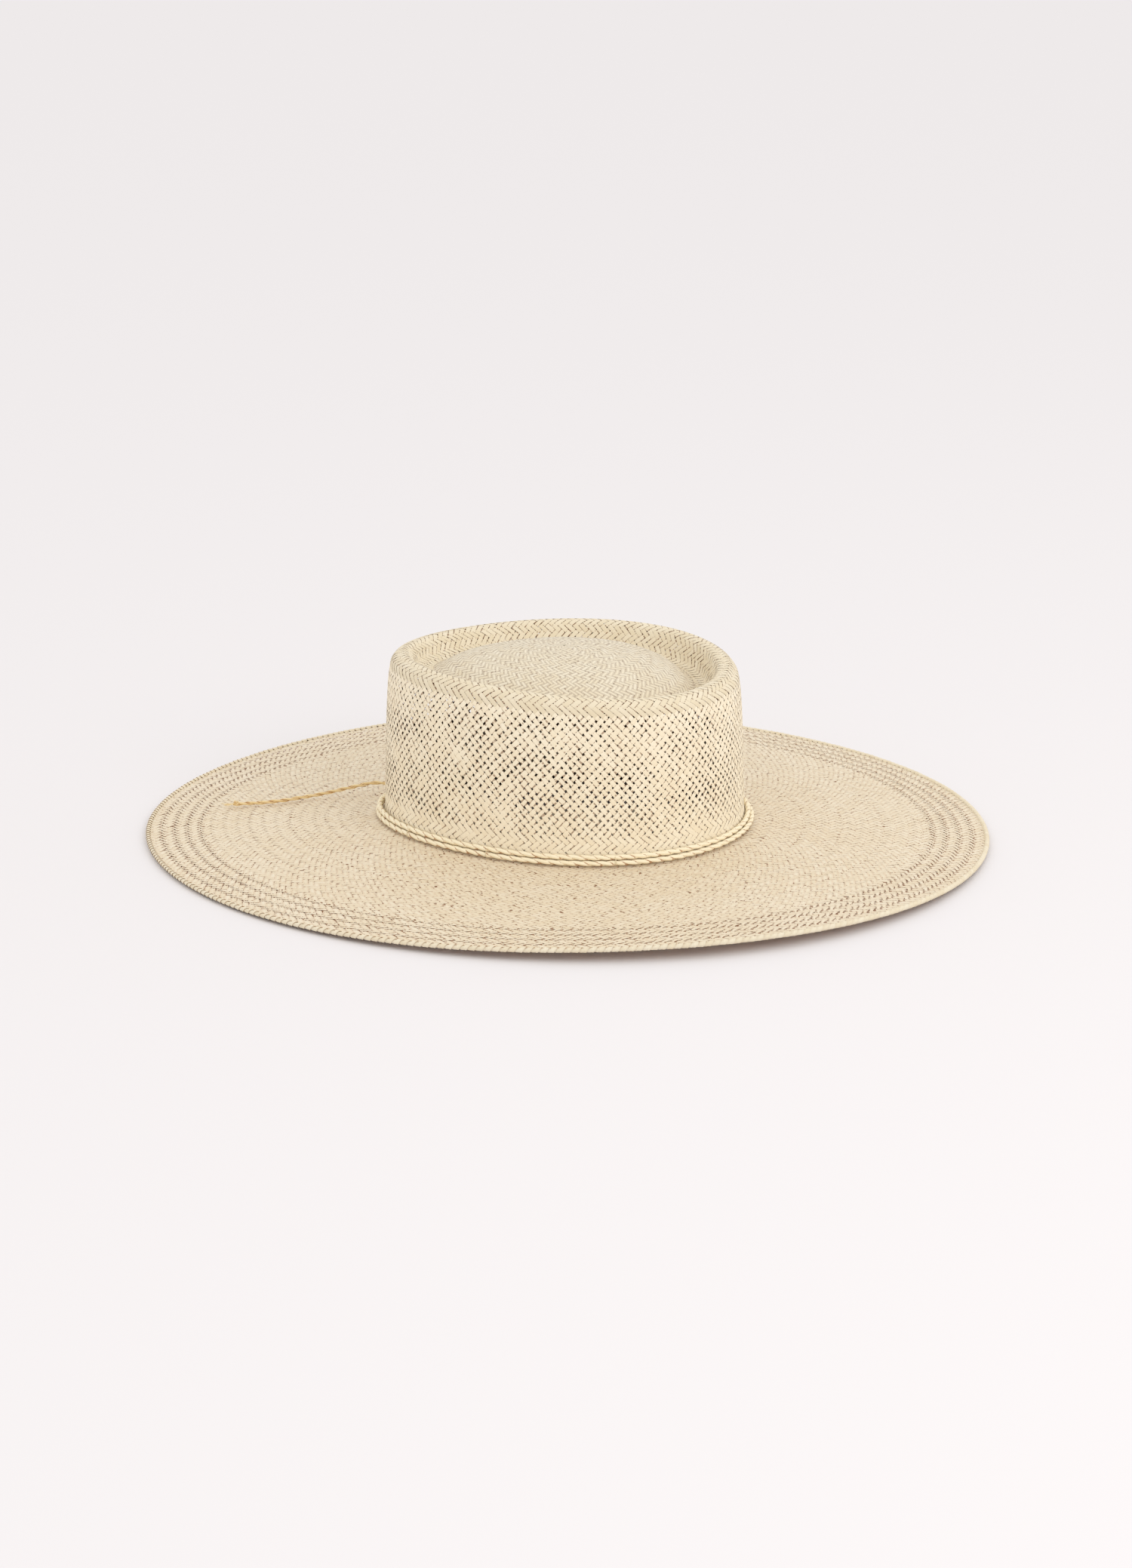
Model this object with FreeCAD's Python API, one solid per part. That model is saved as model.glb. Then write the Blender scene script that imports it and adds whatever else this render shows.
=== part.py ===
"""Wide-brimmed straw hat with a telescope crown and a cord wound twice round it.

Own frame: +Z up, the front of the hat faces -Y, the origin lies on the surface that
the brim rests on, below the middle of the brim. All sizes are in millimetres.
"""
import math
import os

import FreeCAD, Part

Vector = FreeCAD.Vector

# Driving dimensions of the straw body
brim_half_length = 235.8
brim_half_width = 211.2
crown_half_length = 101.2
crown_half_width = 81.7
crown_offset = (-2.7, -1.5)
crown_foot_height = 6.75
crown_height = 93.2
head_egg = 0.07
brim_egg = 0.03
brim_centre = (0.0, 0.0)
straw_thickness = 1.4

# Edge of the brim
bead_radius = 1.35
braid_wall = 0.6
wire_radius = 0.45
wire_joiner_radius = 0.62
wire_joiner_length = 14.0

# Sweatband and what is sewn to it
sweatband_height = 29.0
sweatband_thickness = 0.9
sweatband_gap = 0.45
band_half_length = 100.2
stitch_pitch = 6.0
stitch_length = 3.4
stitch_radius = 0.25
tab_width = 14.0
tab_thickness = 0.5
label_width = 20.0
label_height = 15.0
label_thickness = 0.35

# Cord round the crown
cord_radius = 1.5
knot_angle = math.radians(246.0)
knot_spread = math.radians(7.0)
lower_lane = (3.15, 2.15)
upper_lane = (2.15, 5.1)
tail_radius = 1.1
tack_length = 5.0
tail_end_knot_radius = 1.9

ring_poles = 48
wire_runs = 96
wire_gap = 1.0
turn_steps = 72
section_poles = 10
pole_scale = 3.0 / (2.0 + math.cos(2.0 * math.pi / ring_poles))

# Route of the free end of the cord, from the knot to its tip, chosen by hand
tail_route = [
    (-37.2, -103.1, 10.8),
    (-36.0, -112.6, 12.8),
    (-30.8, -122.0, 12.0),
    (-27.6, -131.6, 10.3),
    (-22.4, -142.8, 8.7),
    (-17.9, -154.2, 7.7),
    (-12.0, -164.8, 7.2),
    (-8.2, -176.8, 6.8),
    (-5.7, -188.2, 6.7),
]


def brim_wave(angle):
    """Height of the brim's edge above its mean, round the hat."""
    waves = ((0.64, 12.0), (2.36, 22.6), (0.43, 52.5), (0.58, 18.4))
    return sum(height * math.cos(count * (angle - math.radians(turn)))
               for count, (height, turn) in enumerate(waves, 1))


lowest_wave = min(brim_wave(math.radians(0.25 * step)) for step in range(1440))
edge_height = bead_radius - lowest_wave


def foot_wave(angle):
    """Height of the crown's foot above its mean."""
    return -0.5 * math.cos(2.0 * angle) - 1.1 * math.sin(2.0 * angle)


def ridge_wave(angle):
    """Height of the crown's ridge above its mean, beside its tilt."""
    return 0.6 * math.cos(2.0 * angle) - 1.4 * math.sin(2.0 * angle)


def oval_point(angle, half_length, half_width, egg, centre=crown_offset):
    """A point on an egg-shaped ring whose narrow end is at the front."""
    x = centre[0] + half_width * math.cos(angle) * (1.0 + egg * math.sin(angle))
    y = centre[1] + half_length * math.sin(angle)
    return x, y


def crown_point(angle, half_length, half_width, egg, rise):
    """A point of the crown: rise runs from 0 at the foot to crown_height at the ridge."""
    x, y = oval_point(angle, half_length, half_width, egg)
    share = min(max(rise / crown_height, 0.0), 1.0)
    side = (x - crown_offset[0]) / crown_half_width
    back = (y - crown_offset[1]) / crown_half_length
    reach = min(1.0, math.hypot(side, back) * 1.15) ** 2
    z = crown_foot_height + rise
    z += (1.0 - share) * foot_wave(angle) + share * ridge_wave(angle) * reach
    z -= share * (3.3 * back + 1.1 * side)
    return Vector(x, y, z)


def ring_angles(count=ring_poles):
    return [2.0 * math.pi * step / count for step in range(count)]


def knot_vector(count, degree, periodic):
    """Uniform knots and multiplicities of a spline with this many poles."""
    if periodic:
        return [float(step) for step in range(count + 1)], [1] * (count + 1)
    spans = count - degree
    ends = [degree + 1] + [1] * (spans - 1) + [degree + 1]
    return [float(step) for step in range(spans + 1)], ends


def spline_face(rows, along_periodic, degree=3):
    """A spline face through rows of poles: each row is one closed ring."""
    poles = [list(column) for column in zip(*rows)]
    ring_knots, ring_ends = knot_vector(len(poles), degree, True)
    row_knots, row_ends = knot_vector(len(rows), degree, along_periodic)
    surface = Part.BSplineSurface()
    surface.buildFromPolesMultsKnots(
        poles, ring_ends, row_ends, ring_knots, row_knots, True, along_periodic, degree, degree)
    return surface.toShape()


def closed_solid(faces):
    """One solid from the faces that bound it, with its outside outwards."""
    shell = Part.Shell(faces)
    solid = Part.Solid(shell)
    if solid.Volume < 0.0:
        solid.reverse()
    return solid


def widen(rows, centre):
    """Move the poles out a little, so that the spline itself lies on the rings."""
    moved = []
    for row in rows:
        moved.append([Vector(centre[0] + (point.x - centre[0]) * pole_scale,
                             centre[1] + (point.y - centre[1]) * pole_scale, point.z)
                      for point in row])
    return moved


def skin_normals(rows):
    """Outward unit normals at the poles of an outer skin given ring by ring."""
    count = len(rows[0])
    normals = []
    for index, row in enumerate(rows):
        before = rows[max(index - 1, 0)]
        after = rows[min(index + 1, len(rows) - 1)]
        line = []
        for step in range(count):
            around = row[(step + 1) % count] - row[step - 1]
            along = after[step] - before[step]
            line.append(around.cross(along).normalize())
        normals.append(line)
    return normals


def offset_rows(rows, distance):
    """The rows moved along their outward normals."""
    return [[point + normal * distance for point, normal in zip(row, line)]
            for row, line in zip(rows, skin_normals(rows))]


def ring_shell(rows, thickness, centre):
    """A ring-shaped skin of this thickness below the outer rows."""
    outer = widen(rows, centre)
    inner = offset_rows(outer, -thickness)
    loop = [outer[0]] + outer + [outer[-1]] + [inner[-1]] + inner[::-1] + [inner[0]]
    return closed_solid([spline_face(loop, True)])


# Straw body: rings as (half length, half width, egg, rise above the foot)

def crown_rows(rings):
    return [[crown_point(angle, *ring) for angle in ring_angles()] for ring in rings]


def grown(amount, rise, egg=head_egg):
    """A ring of the crown's foot moved outwards by this much."""
    return crown_half_length + amount, crown_half_width + amount, egg, rise


side_rings = [
    grown(3.4, 0.1),
    grown(2.2, 0.35),
    grown(1.1, 1.3),
    grown(0.4, 3.2),
    grown(0.0, 7.0),
    (101.1, 81.6, 0.071, 15.0),
    (100.8, 81.7, 0.073, 27.0),
    (100.4, 81.9, 0.076, 40.0),
    (99.9, 82.1, 0.079, 53.0),
    (99.3, 82.2, 0.082, 65.0),
    (98.6, 82.1, 0.085, 76.0),
    (97.8, 81.7, 0.088, 83.0),
    (96.7, 81.0, 0.090, 88.0),
]

tip_rings = [
    (96.7, 81.0, 0.090, 88.0),
    (94.6, 79.6, 0.093, 91.4),
    (91.6, 77.6, 0.098, 93.3),
    (88.0, 75.0, 0.104, 93.6),
    (84.8, 72.2, 0.112, 92.0),
    (82.6, 70.0, 0.120, 88.5),
]

# Inside the ridge a ring has a fifth value: how far it drops into the channel
floor_rings = [
    (80.6, 67.6, 0.13, 84.4, 2.4),
    (77.6, 64.4, 0.15, 82.0, 4.0),
    (73.8, 60.2, 0.17, 81.8, 4.2),
    (69.4, 55.2, 0.18, 84.2, 3.2),
    (64.4, 49.8, 0.18, 88.0, 1.6),
    (56.0, 42.4, 0.17, 92.0, 0.6),
    (44.0, 32.6, 0.15, 95.4, 0.0),
    (30.0, 22.2, 0.10, 98.0, 0.0),
    (16.0, 12.2, 0.05, 99.4, 0.0),
    (6.0, 5.0, 0.0, 99.7, 0.0),
]


def tip_point(angle, half_length, half_width, egg, rise, drop):
    """A point inside the ridge, where the channel is deepest at the back."""
    point = crown_point(angle, half_length, half_width, egg, rise)
    return point - Vector(0.0, 0.0, drop * (0.35 + 0.65 * math.sin(angle)))


def crown_side():
    return ring_shell(crown_rows(side_rings), straw_thickness, crown_offset)


def crown_tip():
    """Ridge, channel and raised middle of the crown, closed at its centre."""
    rows = crown_rows(tip_rings)
    rows += [[tip_point(angle, *ring) for angle in ring_angles()] for ring in floor_rings]
    outer = widen(rows, crown_offset)
    inner = offset_rows(outer, -straw_thickness)
    top = Vector(crown_offset[0], crown_offset[1], outer[-1][0].z + 0.05)
    bottom = top - Vector(0.0, 0.0, straw_thickness)
    last = inner[-1]
    loop = [[top] * ring_poles] + outer[::-1] + [outer[0], inner[0]] + inner[:-1]
    loop += [last, [bottom] * ring_poles]
    return closed_solid([spline_face(loop, False)])


def brim_row(share):
    """A ring of the brim's top from the crown's foot, 0, to the edge, 1."""
    row = []
    foot = side_rings[0]
    edge_length = brim_half_length - bead_radius * 1.7
    edge_width = brim_half_width - bead_radius * 1.7
    for angle in ring_angles():
        start = crown_point(angle, *foot)
        end_x, end_y = oval_point(angle, edge_length, edge_width, brim_egg, brim_centre)
        end_z = edge_height + 0.5 * straw_thickness + brim_wave(angle)
        lift = start.z + (end_z - start.z) * share ** 1.15
        row.append(Vector(start.x + (end_x - start.x) * share,
                          start.y + (end_y - start.y) * share, lift))
    return row


def brim():
    rows = [brim_row(step / 12.0) for step in range(13)]
    return ring_shell(rows[::-1], straw_thickness, crown_offset)


def bead_centre(angle):
    x, y = oval_point(angle, brim_half_length - bead_radius, brim_half_width - bead_radius,
                      brim_egg, brim_centre)
    return Vector(x, y, edge_height + brim_wave(angle))


def ring_tube(centre_of, section, count=ring_poles):
    """A closed ring that sweeps a section of (outwards, up) poles round the hat."""
    rows = []
    scale = 3.0 / (2.0 + math.cos(2.0 * math.pi / count))
    angles = ring_angles(count)
    for out, up in section:
        row = []
        for angle in angles:
            centre = centre_of(angle)
            ahead = centre_of(angle + 0.01) - centre_of(angle - 0.01)
            away = Vector(ahead.y, -ahead.x, 0.0).normalize()
            point = centre + away * out + Vector(0.0, 0.0, up)
            row.append(Vector(point.x * scale, point.y * scale, point.z))
        rows.append(row)
    return closed_solid([spline_face(rows, True)])


def edge_braid():
    """A rolled braid with a slot towards the brim and room for the wire in its middle."""
    outer = 1.09 * bead_radius
    inner = 1.09 * (bead_radius - braid_wall)
    mouth = 38.0
    sweep = [mouth + step * (360.0 - 2.0 * mouth) / 11.0 - 180.0 for step in range(12)]
    section = [(outer * math.cos(math.radians(turn)), outer * math.sin(math.radians(turn)))
               for turn in sweep]
    section += [(inner * math.cos(math.radians(turn)), inner * math.sin(math.radians(turn)))
                for turn in sweep[::-1]]
    return ring_tube(bead_centre, section, 2 * ring_poles)


def rounded_path(points):
    """Straight runs joined by tangent arcs, with the arc's radius at each corner."""
    edges = []
    radii = []
    start = points[0]
    for before, corner, after in zip(points, points[1:], points[2:]):
        back = (before - corner).normalize()
        ahead = (after - corner).normalize()
        turn = math.pi - back.getAngle(ahead)
        trim = 0.45 * min((before - corner).Length, (after - corner).Length)
        radius = trim / math.tan(0.5 * turn)
        arc_start = corner + back * trim
        arc_end = corner + ahead * trim
        middle_way = (back + ahead).normalize()
        reach = radius / math.cos(0.5 * turn) - radius
        edges.append(Part.LineSegment(start, arc_start).toShape())
        edges.append(Part.Arc(arc_start, corner + middle_way * reach, arc_end).toShape())
        radii.append(round(radius, 1))
        start = arc_end
    edges.append(Part.LineSegment(start, points[-1]).toShape())
    return Part.Wire(edges), radii


def wire_points():
    """Points of the wire's line, which starts and ends in the middle of a run at the back."""
    half_run = math.pi / wire_runs
    points = [bead_centre(0.5 * math.pi + (2 * step + 1) * half_run) for step in range(wire_runs)]
    back = (points[0] + points[-1]) * 0.5
    ahead = (points[0] - back).normalize()
    return back, ahead, points


def edge_wire():
    """The brim wire, a ring with a short gap at the back that the joiner bridges."""
    back, ahead, points = wire_points()
    start = back + ahead * (0.5 * wire_gap)
    end = back - ahead * (0.5 * wire_gap)
    path = rounded_path([start] + points + [end])[0]
    section = Part.Wire([Part.makeCircle(wire_radius, start, ahead)])
    return path.makePipeShell([section], True, False)


def edge_wire_joiner():
    """The crimped sleeve over the wire's two ends."""
    back, ahead, _ = wire_points()
    start = back - ahead * (0.5 * wire_joiner_length)
    sleeve = Part.makeCylinder(wire_joiner_radius, wire_joiner_length, start, ahead)
    return sleeve.cut(Part.makeCylinder(wire_radius + 0.04, wire_joiner_length, start, ahead))


# Sweatband

sweatband_foot = crown_foot_height + 0.4


def oval_wire(inset, z, count=72):
    """The inside line of the crown, moved inwards by this much."""
    points = []
    for angle in ring_angles(count):
        x, y = oval_point(angle, band_half_length - straw_thickness - inset,
                          crown_half_width - straw_thickness - inset, head_egg)
        points.append(Vector(x, y, z))
    curve = Part.BSplineCurve()
    curve.interpolate(Points=points, PeriodicFlag=True)
    return Part.Wire([curve.toShape()])


def sweatband():
    outside = Part.Face(oval_wire(sweatband_gap, sweatband_foot))
    inside = Part.Face(oval_wire(sweatband_gap + sweatband_thickness, sweatband_foot))
    lift = Vector(0.0, 0.0, sweatband_height)
    return outside.extrude(lift).cut(inside.extrude(lift))


def band_point(angle, inset):
    x, y = oval_point(angle, band_half_length - straw_thickness - inset,
                      crown_half_width - straw_thickness - inset, head_egg)
    return Vector(x, y, 0.0)


def band_length(steps=720):
    inset = sweatband_gap + sweatband_thickness
    points = [band_point(2.0 * math.pi * step / steps, inset) for step in range(steps + 1)]
    return sum((after - before).Length for before, after in zip(points, points[1:]))


def band_angles(count):
    """Angles that part the sweatband's inside into equal lengths."""
    steps = 1440
    inset = sweatband_gap + sweatband_thickness
    total = band_length(steps)
    angles = []
    run = 0.0
    before = band_point(0.0, inset)
    for step in range(1, steps + 1):
        angle = 2.0 * math.pi * step / steps
        after = band_point(angle, inset)
        run += (after - before).Length
        before = after
        if run >= total * (len(angles) + 0.5) / count:
            angles.append(angle)
    return angles[:count]


def thread_stitch(middle, along, length=stitch_length):
    """One straight stitch of round thread."""
    start = middle - along * (0.5 * length)
    return Part.makeCylinder(stitch_radius, length, start, along)


def sweatband_stitches():
    """The row of stitches on the inside of the band's lower edge."""
    inset = sweatband_gap + sweatband_thickness + stitch_radius + 0.1
    stitches = []
    for angle in band_angles(int(round(band_length() / stitch_pitch))):
        ahead = band_point(angle + 0.01, inset) - band_point(angle - 0.01, inset)
        behind_tab = abs(angle - 0.5 * math.pi) * crown_half_width < 0.5 * tab_width + 2.0
        if behind_tab:
            continue
        middle = band_point(angle, inset) + Vector(0.0, 0.0, sweatband_foot + 2.2)
        stitches.append(thread_stitch(middle, ahead.normalize()))
    return Part.makeCompound(stitches)


def curved_patch(width, height, thickness, inset, foot):
    """A patch that follows the inside of the band at the back."""
    half = math.asin(0.5 * width / (crown_half_width - straw_thickness - inset))
    outside = []
    inside = []
    for step in range(9):
        angle = 0.5 * math.pi + half * (step / 4.0 - 1.0)
        outside.append(band_point(angle, inset) + Vector(0.0, 0.0, foot))
        inside.append(band_point(angle, inset + thickness) + Vector(0.0, 0.0, foot))
    edges = []
    for points in (outside, inside[::-1]):
        curve = Part.BSplineCurve()
        curve.interpolate(Points=points)
        edges.append(curve.toShape())
    edges.insert(1, Part.LineSegment(outside[-1], inside[-1]).toShape())
    edges.append(Part.LineSegment(inside[0], outside[0]).toShape())
    return Part.Face(Part.Wire(edges)).extrude(Vector(0.0, 0.0, height))


tab_inset = sweatband_gap + sweatband_thickness + 0.15
label_inset = tab_inset + tab_thickness + 0.35
label_top = sweatband_foot + sweatband_height - 3.0


def sweatband_join_tab():
    """The tape that covers the join of the band at the back."""
    return curved_patch(tab_width, sweatband_height - 1.0, tab_thickness, tab_inset,
                        sweatband_foot + 0.5)


def size_label():
    """A blank label that hangs from its top edge and can be lifted."""
    return curved_patch(label_width, label_height, label_thickness, label_inset,
                        label_top - label_height)


def label_stitches():
    """The short upright stitches that hold the label's top edge."""
    stitches = []
    inset = label_inset + 0.5 * label_thickness
    for step in range(5):
        angle = 0.5 * math.pi + 0.055 * (step - 2)
        middle = band_point(angle, inset) + Vector(0.0, 0.0, label_top + 1.2)
        stitches.append(thread_stitch(middle, Vector(0.0, 0.0, 1.0), 2.0))
    return Part.makeCompound(stitches)


# Cord round the crown

def window(angle, middle, half_width):
    """1 at the middle of a stretch of the ring, falling smoothly to 0 at its ends."""
    away = abs((math.degrees(angle) - middle + 180.0) % 360.0 - 180.0) / half_width
    return 0.5 * (1.0 + math.cos(math.pi * away)) if away < 1.0 else 0.0


def lane_point(angle, share):
    """A point of the cord's centre line: share 0 is the lower turn and 1 is the upper."""
    beside = window(angle, 86.0, 42.0)
    loose = window(angle, 268.0, 30.0)
    low_out = lower_lane[0] + 0.9 * beside + 0.5 * loose
    low_up = lower_lane[1] + 0.1 * beside
    high_out = upper_lane[0] + 0.8 * loose - 0.2 * beside
    high_up = upper_lane[1] - 0.5 * beside
    out = low_out + (high_out - low_out) * share
    up = low_up + (high_up - low_up) * share
    x, y = oval_point(angle, crown_half_length + out, crown_half_width + out, head_egg)
    return Vector(x, y, crown_foot_height + foot_wave(angle) + up)


def band_centre_line():
    """Two turns of cord, which change lanes behind the knot."""
    first = knot_angle + knot_spread
    last = knot_angle - knot_spread + 4.0 * math.pi
    total = 2 * turn_steps
    points = []
    for step in range(total + 1):
        angle = first + (last - first) * step / total
        change = (angle - knot_angle - 2.0 * math.pi) / (1.2 * knot_spread)
        change = min(max(change, -1.0), 1.0)
        share = 0.5 + 0.75 * change - 0.25 * change ** 3
        points.append(lane_point(angle, share))
    return points


def open_tube(points, radius):
    """A round tube along these points, closed at each end."""
    reach = radius * 3.0 / (2.0 + math.cos(2.0 * math.pi / section_poles))
    rows = []
    for index, point in enumerate(points):
        ahead = points[min(index + 1, len(points) - 1)] - points[max(index - 1, 0)]
        side = Vector(ahead.y, -ahead.x, 0.0).normalize()
        over = side.cross(ahead).normalize() * -1.0
        rows.append([point + side * (reach * math.cos(turn)) + over * (reach * math.sin(turn))
                     for turn in ring_angles(section_poles)])
    first = [points[0]] * section_poles
    last = [points[-1]] * section_poles
    return closed_solid([spline_face([first, rows[0]] + rows + [rows[-1], last], False)])


def cord_band():
    return open_tube(band_centre_line(), cord_radius)


def knot_centre():
    x, y = oval_point(knot_angle, crown_half_length + 5.6, crown_half_width + 5.6, head_egg)
    return Vector(x, y, crown_foot_height + foot_wave(knot_angle) + 3.6)


def cord_knot(band):
    """The overhand knot that ties both ends over the turn that passes behind it."""
    centre = knot_centre()
    lump = Part.makeSphere(1.0)
    shape = FreeCAD.Matrix()
    shape.scale(5.6, 3.1, 3.3)
    knot = lump.transformGeometry(shape)
    ahead = lane_point(knot_angle + 0.02, 0.5) - lane_point(knot_angle - 0.02, 0.5)
    knot.rotate(Vector(), Vector(0.0, 0.0, 1.0), math.degrees(math.atan2(ahead.y, ahead.x)))
    knot.translate(centre)
    return knot.cut(band)


def cord_tail():
    """The free end of the cord, which leaves the knot and lies on the brim."""
    path, radii = rounded_path([Vector(*point) for point in tail_route])
    start = Vector(*tail_route[0])
    heading = Vector(*tail_route[1]) - start
    section = Part.Wire([Part.makeCircle(tail_radius, start, heading)])
    tube = path.makePipeShell([section], True, False)
    ratio = tube.Volume / (math.pi * tail_radius ** 2 * path.Length)
    print("tail length", round(path.Length, 1), "radii", radii, "volume ratio", round(ratio, 4))
    return tube


def tail_end_knot(tail):
    """The small knot that keeps the cord's end from opening."""
    end = Vector(*tail_route[-1])
    heading = (end - Vector(*tail_route[-2])).normalize()
    knot = Part.makeSphere(tail_end_knot_radius, end + heading * 1.2 + Vector(0.0, 0.0, 0.45))
    return knot.cut(tail)


def cord_tacks():
    """Small thread tacks that hold the two turns to the crown."""
    tacks = []
    for degrees in (20.0, 112.0, 200.0, 310.0, 341.0):
        angle = math.radians(degrees)
        high = lane_point(angle, 1.0)
        low = lane_point(angle, 0.0)
        out = Vector(math.cos(angle), math.sin(angle), 0.0)
        middle = (high + low) * 0.5 + out * (cord_radius + 0.75)
        rise = (high - low).normalize()
        tacks.append(thread_stitch(middle, rise, tack_length))
    return Part.makeCompound(tacks)


def main():
    os.makedirs("parts", exist_ok=True)
    band = cord_band()
    tail = cord_tail()
    pieces = {
        "crown_tip": crown_tip(),
        "crown_side": crown_side(),
        "brim": brim(),
        "edge_braid": edge_braid(),
        "edge_wire": edge_wire(),
        "edge_wire_joiner": edge_wire_joiner(),
        "sweatband": sweatband(),
        "sweatband_stitches": sweatband_stitches(),
        "sweatband_join_tab": sweatband_join_tab(),
        "size_label": size_label(),
        "label_stitches": label_stitches(),
        "cord_band": band,
        "cord_knot": cord_knot(band),
        "cord_tail": tail,
        "tail_end_knot": tail_end_knot(tail),
        "cord_tacks": cord_tacks(),
    }
    for name, piece in pieces.items():
        piece.exportStep("parts/" + name + ".step")
        print(name, "solids", len(piece.Solids), "valid", piece.isValid(),
              "volume", round(piece.Volume, 1))


main()
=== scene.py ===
import math

import bpy
import numpy as np
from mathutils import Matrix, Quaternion, Vector
from mathutils.bvhtree import BVHTree


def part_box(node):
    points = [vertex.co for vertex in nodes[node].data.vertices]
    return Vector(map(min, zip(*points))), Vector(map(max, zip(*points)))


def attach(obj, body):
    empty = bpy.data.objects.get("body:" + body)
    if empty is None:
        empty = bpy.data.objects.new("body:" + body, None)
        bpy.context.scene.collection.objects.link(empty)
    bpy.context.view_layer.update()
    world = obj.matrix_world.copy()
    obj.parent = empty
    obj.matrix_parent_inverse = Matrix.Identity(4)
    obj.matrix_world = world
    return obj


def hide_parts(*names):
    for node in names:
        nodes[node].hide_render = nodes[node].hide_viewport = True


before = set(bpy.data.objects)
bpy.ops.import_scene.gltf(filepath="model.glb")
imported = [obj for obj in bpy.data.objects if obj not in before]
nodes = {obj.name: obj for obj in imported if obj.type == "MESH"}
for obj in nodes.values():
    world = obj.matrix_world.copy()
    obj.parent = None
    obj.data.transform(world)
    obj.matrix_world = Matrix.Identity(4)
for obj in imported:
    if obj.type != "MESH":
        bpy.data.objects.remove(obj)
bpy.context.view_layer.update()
scene = bpy.context.scene
print("frame loaded:", len(nodes), "nodes")

tipLow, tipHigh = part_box("crown_tip")
crownMiddle = Vector(((tipLow.x + tipHigh.x) / 2, (tipLow.y + tipHigh.y) / 2, 0.0))


# Small helpers for node trees

def plug(tree, value, socket):
    if isinstance(value, bpy.types.NodeSocket):
        tree.links.new(value, socket)
    else:
        socket.default_value = value


def addNode(tree, kind, settings=None, inputs=None):
    node = tree.nodes.new(kind)
    for name, value in (settings or {}).items():
        setattr(node, name, value)
    for name, value in (inputs or {}).items():
        plug(tree, value, node.inputs[name])
    return node


def calc(tree, operation, *values):
    node = addNode(tree, "ShaderNodeMath", {"operation": operation})
    for value, socket in zip(values, node.inputs):
        plug(tree, value, socket)
    return node.outputs[0]


def clamped(tree, value, low, high):
    return calc(tree, "MINIMUM", calc(tree, "MAXIMUM", value, low), high)


def aim(tree, operation, *values):
    node = addNode(tree, "ShaderNodeVectorMath", {"operation": operation})
    for value, socket in zip(values, node.inputs):
        plug(tree, value, socket)
    return node.outputs["Value" if operation in ("LENGTH", "DOT_PRODUCT") else "Vector"]


def scaled(tree, vector, factor):
    node = addNode(tree, "ShaderNodeVectorMath", {"operation": "SCALE"},
                   {"Vector": vector, "Scale": factor})
    return node.outputs["Vector"]


def joined(tree, x, y, z=0.0):
    return addNode(tree, "ShaderNodeCombineXYZ", None, {"X": x, "Y": y, "Z": z}).outputs[0]


def namedValue(tree, name, kind="FLOAT"):
    node = addNode(tree, "GeometryNodeInputNamedAttribute", {"data_type": kind}, {"Name": name})
    return node.outputs["Attribute"]


def stored(tree, geometry, name, value, kind="FLOAT", domain="POINT"):
    node = addNode(tree, "GeometryNodeStoreNamedAttribute", {"data_type": kind, "domain": domain},
                   {"Geometry": geometry, "Name": name, "Value": value})
    return node.outputs["Geometry"]


def newTree(name, kind, inputs, outputs):
    tree = bpy.data.node_groups.new(name, kind)
    for label, socket, value in inputs:
        item = tree.interface.new_socket(label, in_out="INPUT", socket_type="NodeSocket" + socket)
        if value is not None:
            item.default_value = value
    for label, socket in outputs:
        tree.interface.new_socket(label, in_out="OUTPUT", socket_type="NodeSocket" + socket)
    return tree, tree.nodes.new("NodeGroupInput").outputs, tree.nodes.new("NodeGroupOutput").inputs


def facesOut(mesh):
    mesh.calc_loop_triangles()
    points = np.empty(len(mesh.vertices) * 3)
    mesh.vertices.foreach_get("co", points)
    corners = np.empty(len(mesh.loop_triangles) * 3, dtype=np.int32)
    mesh.loop_triangles.foreach_get("vertices", corners)
    a, b, c = points.reshape(-1, 3)[corners].reshape(-1, 3, 3).transpose(1, 0, 2)
    if (a * np.cross(b, c)).sum() < 0.0:
        mesh.flip_normals()


def place(name, mesh, body, replaced=()):
    piece = bpy.data.objects.new(name, mesh)
    scene.collection.objects.link(piece)
    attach(piece, body)
    if replaced:
        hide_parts(*replaced)
    return piece


def grow(name, source, tree, values):
    # runs a geometry tree on a mesh and gives back the plain result
    carrier = bpy.data.objects.new(name, source)
    scene.collection.objects.link(carrier)
    modifier = carrier.modifiers.new("grow", "NODES")
    modifier.node_group = tree
    for item in tree.interface.items_tree:
        if item.in_out == "INPUT" and item.name in values:
            modifier[item.identifier] = values[item.name]
    ready = carrier.evaluated_get(bpy.context.evaluated_depsgraph_get())
    mesh = bpy.data.meshes.new_from_object(ready)
    carrier.modifiers.clear()
    bpy.data.objects.remove(carrier)
    mesh.name = name
    facesOut(mesh)
    print(name, len(mesh.polygons), "faces")
    return mesh


# The skin of the hat, walked from the brim's edge to the middle of the crown

walkSettings = {
    "columns": 288,
    "step": 0.001,
    "standOff": 0.0003,      # the walker keeps this far outside the skin
    "startHeight": 0.030,
    "edgeInset": 0.0024,     # the brim ends this far inside the edge
    "intoBead": 0.0009,      # and its straw goes on this far into the rolled edge
    "centreRadius": 0.003,
    "wander": 9,             # columns averaged where a landmark is found
    "lastStep": 0.0005,      # the dome closes to a hole of this radius
    "overlap": 0.0025,       # the wall's weave goes on this far under the dome's
    "farOff": 0.3,           # rays towards the skin start this far from the middle
    "footWithin": 0.7,       # the wall's foot is nearer than this share of the brim's reach
    "ridgeBeyond": 0.6,      # and the ridge is further out than this share of the foot's
    "channelFrom": 0.006,    # the channel's floor lies between these lengths past the ridge
    "channelTo": 0.040,
}


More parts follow.
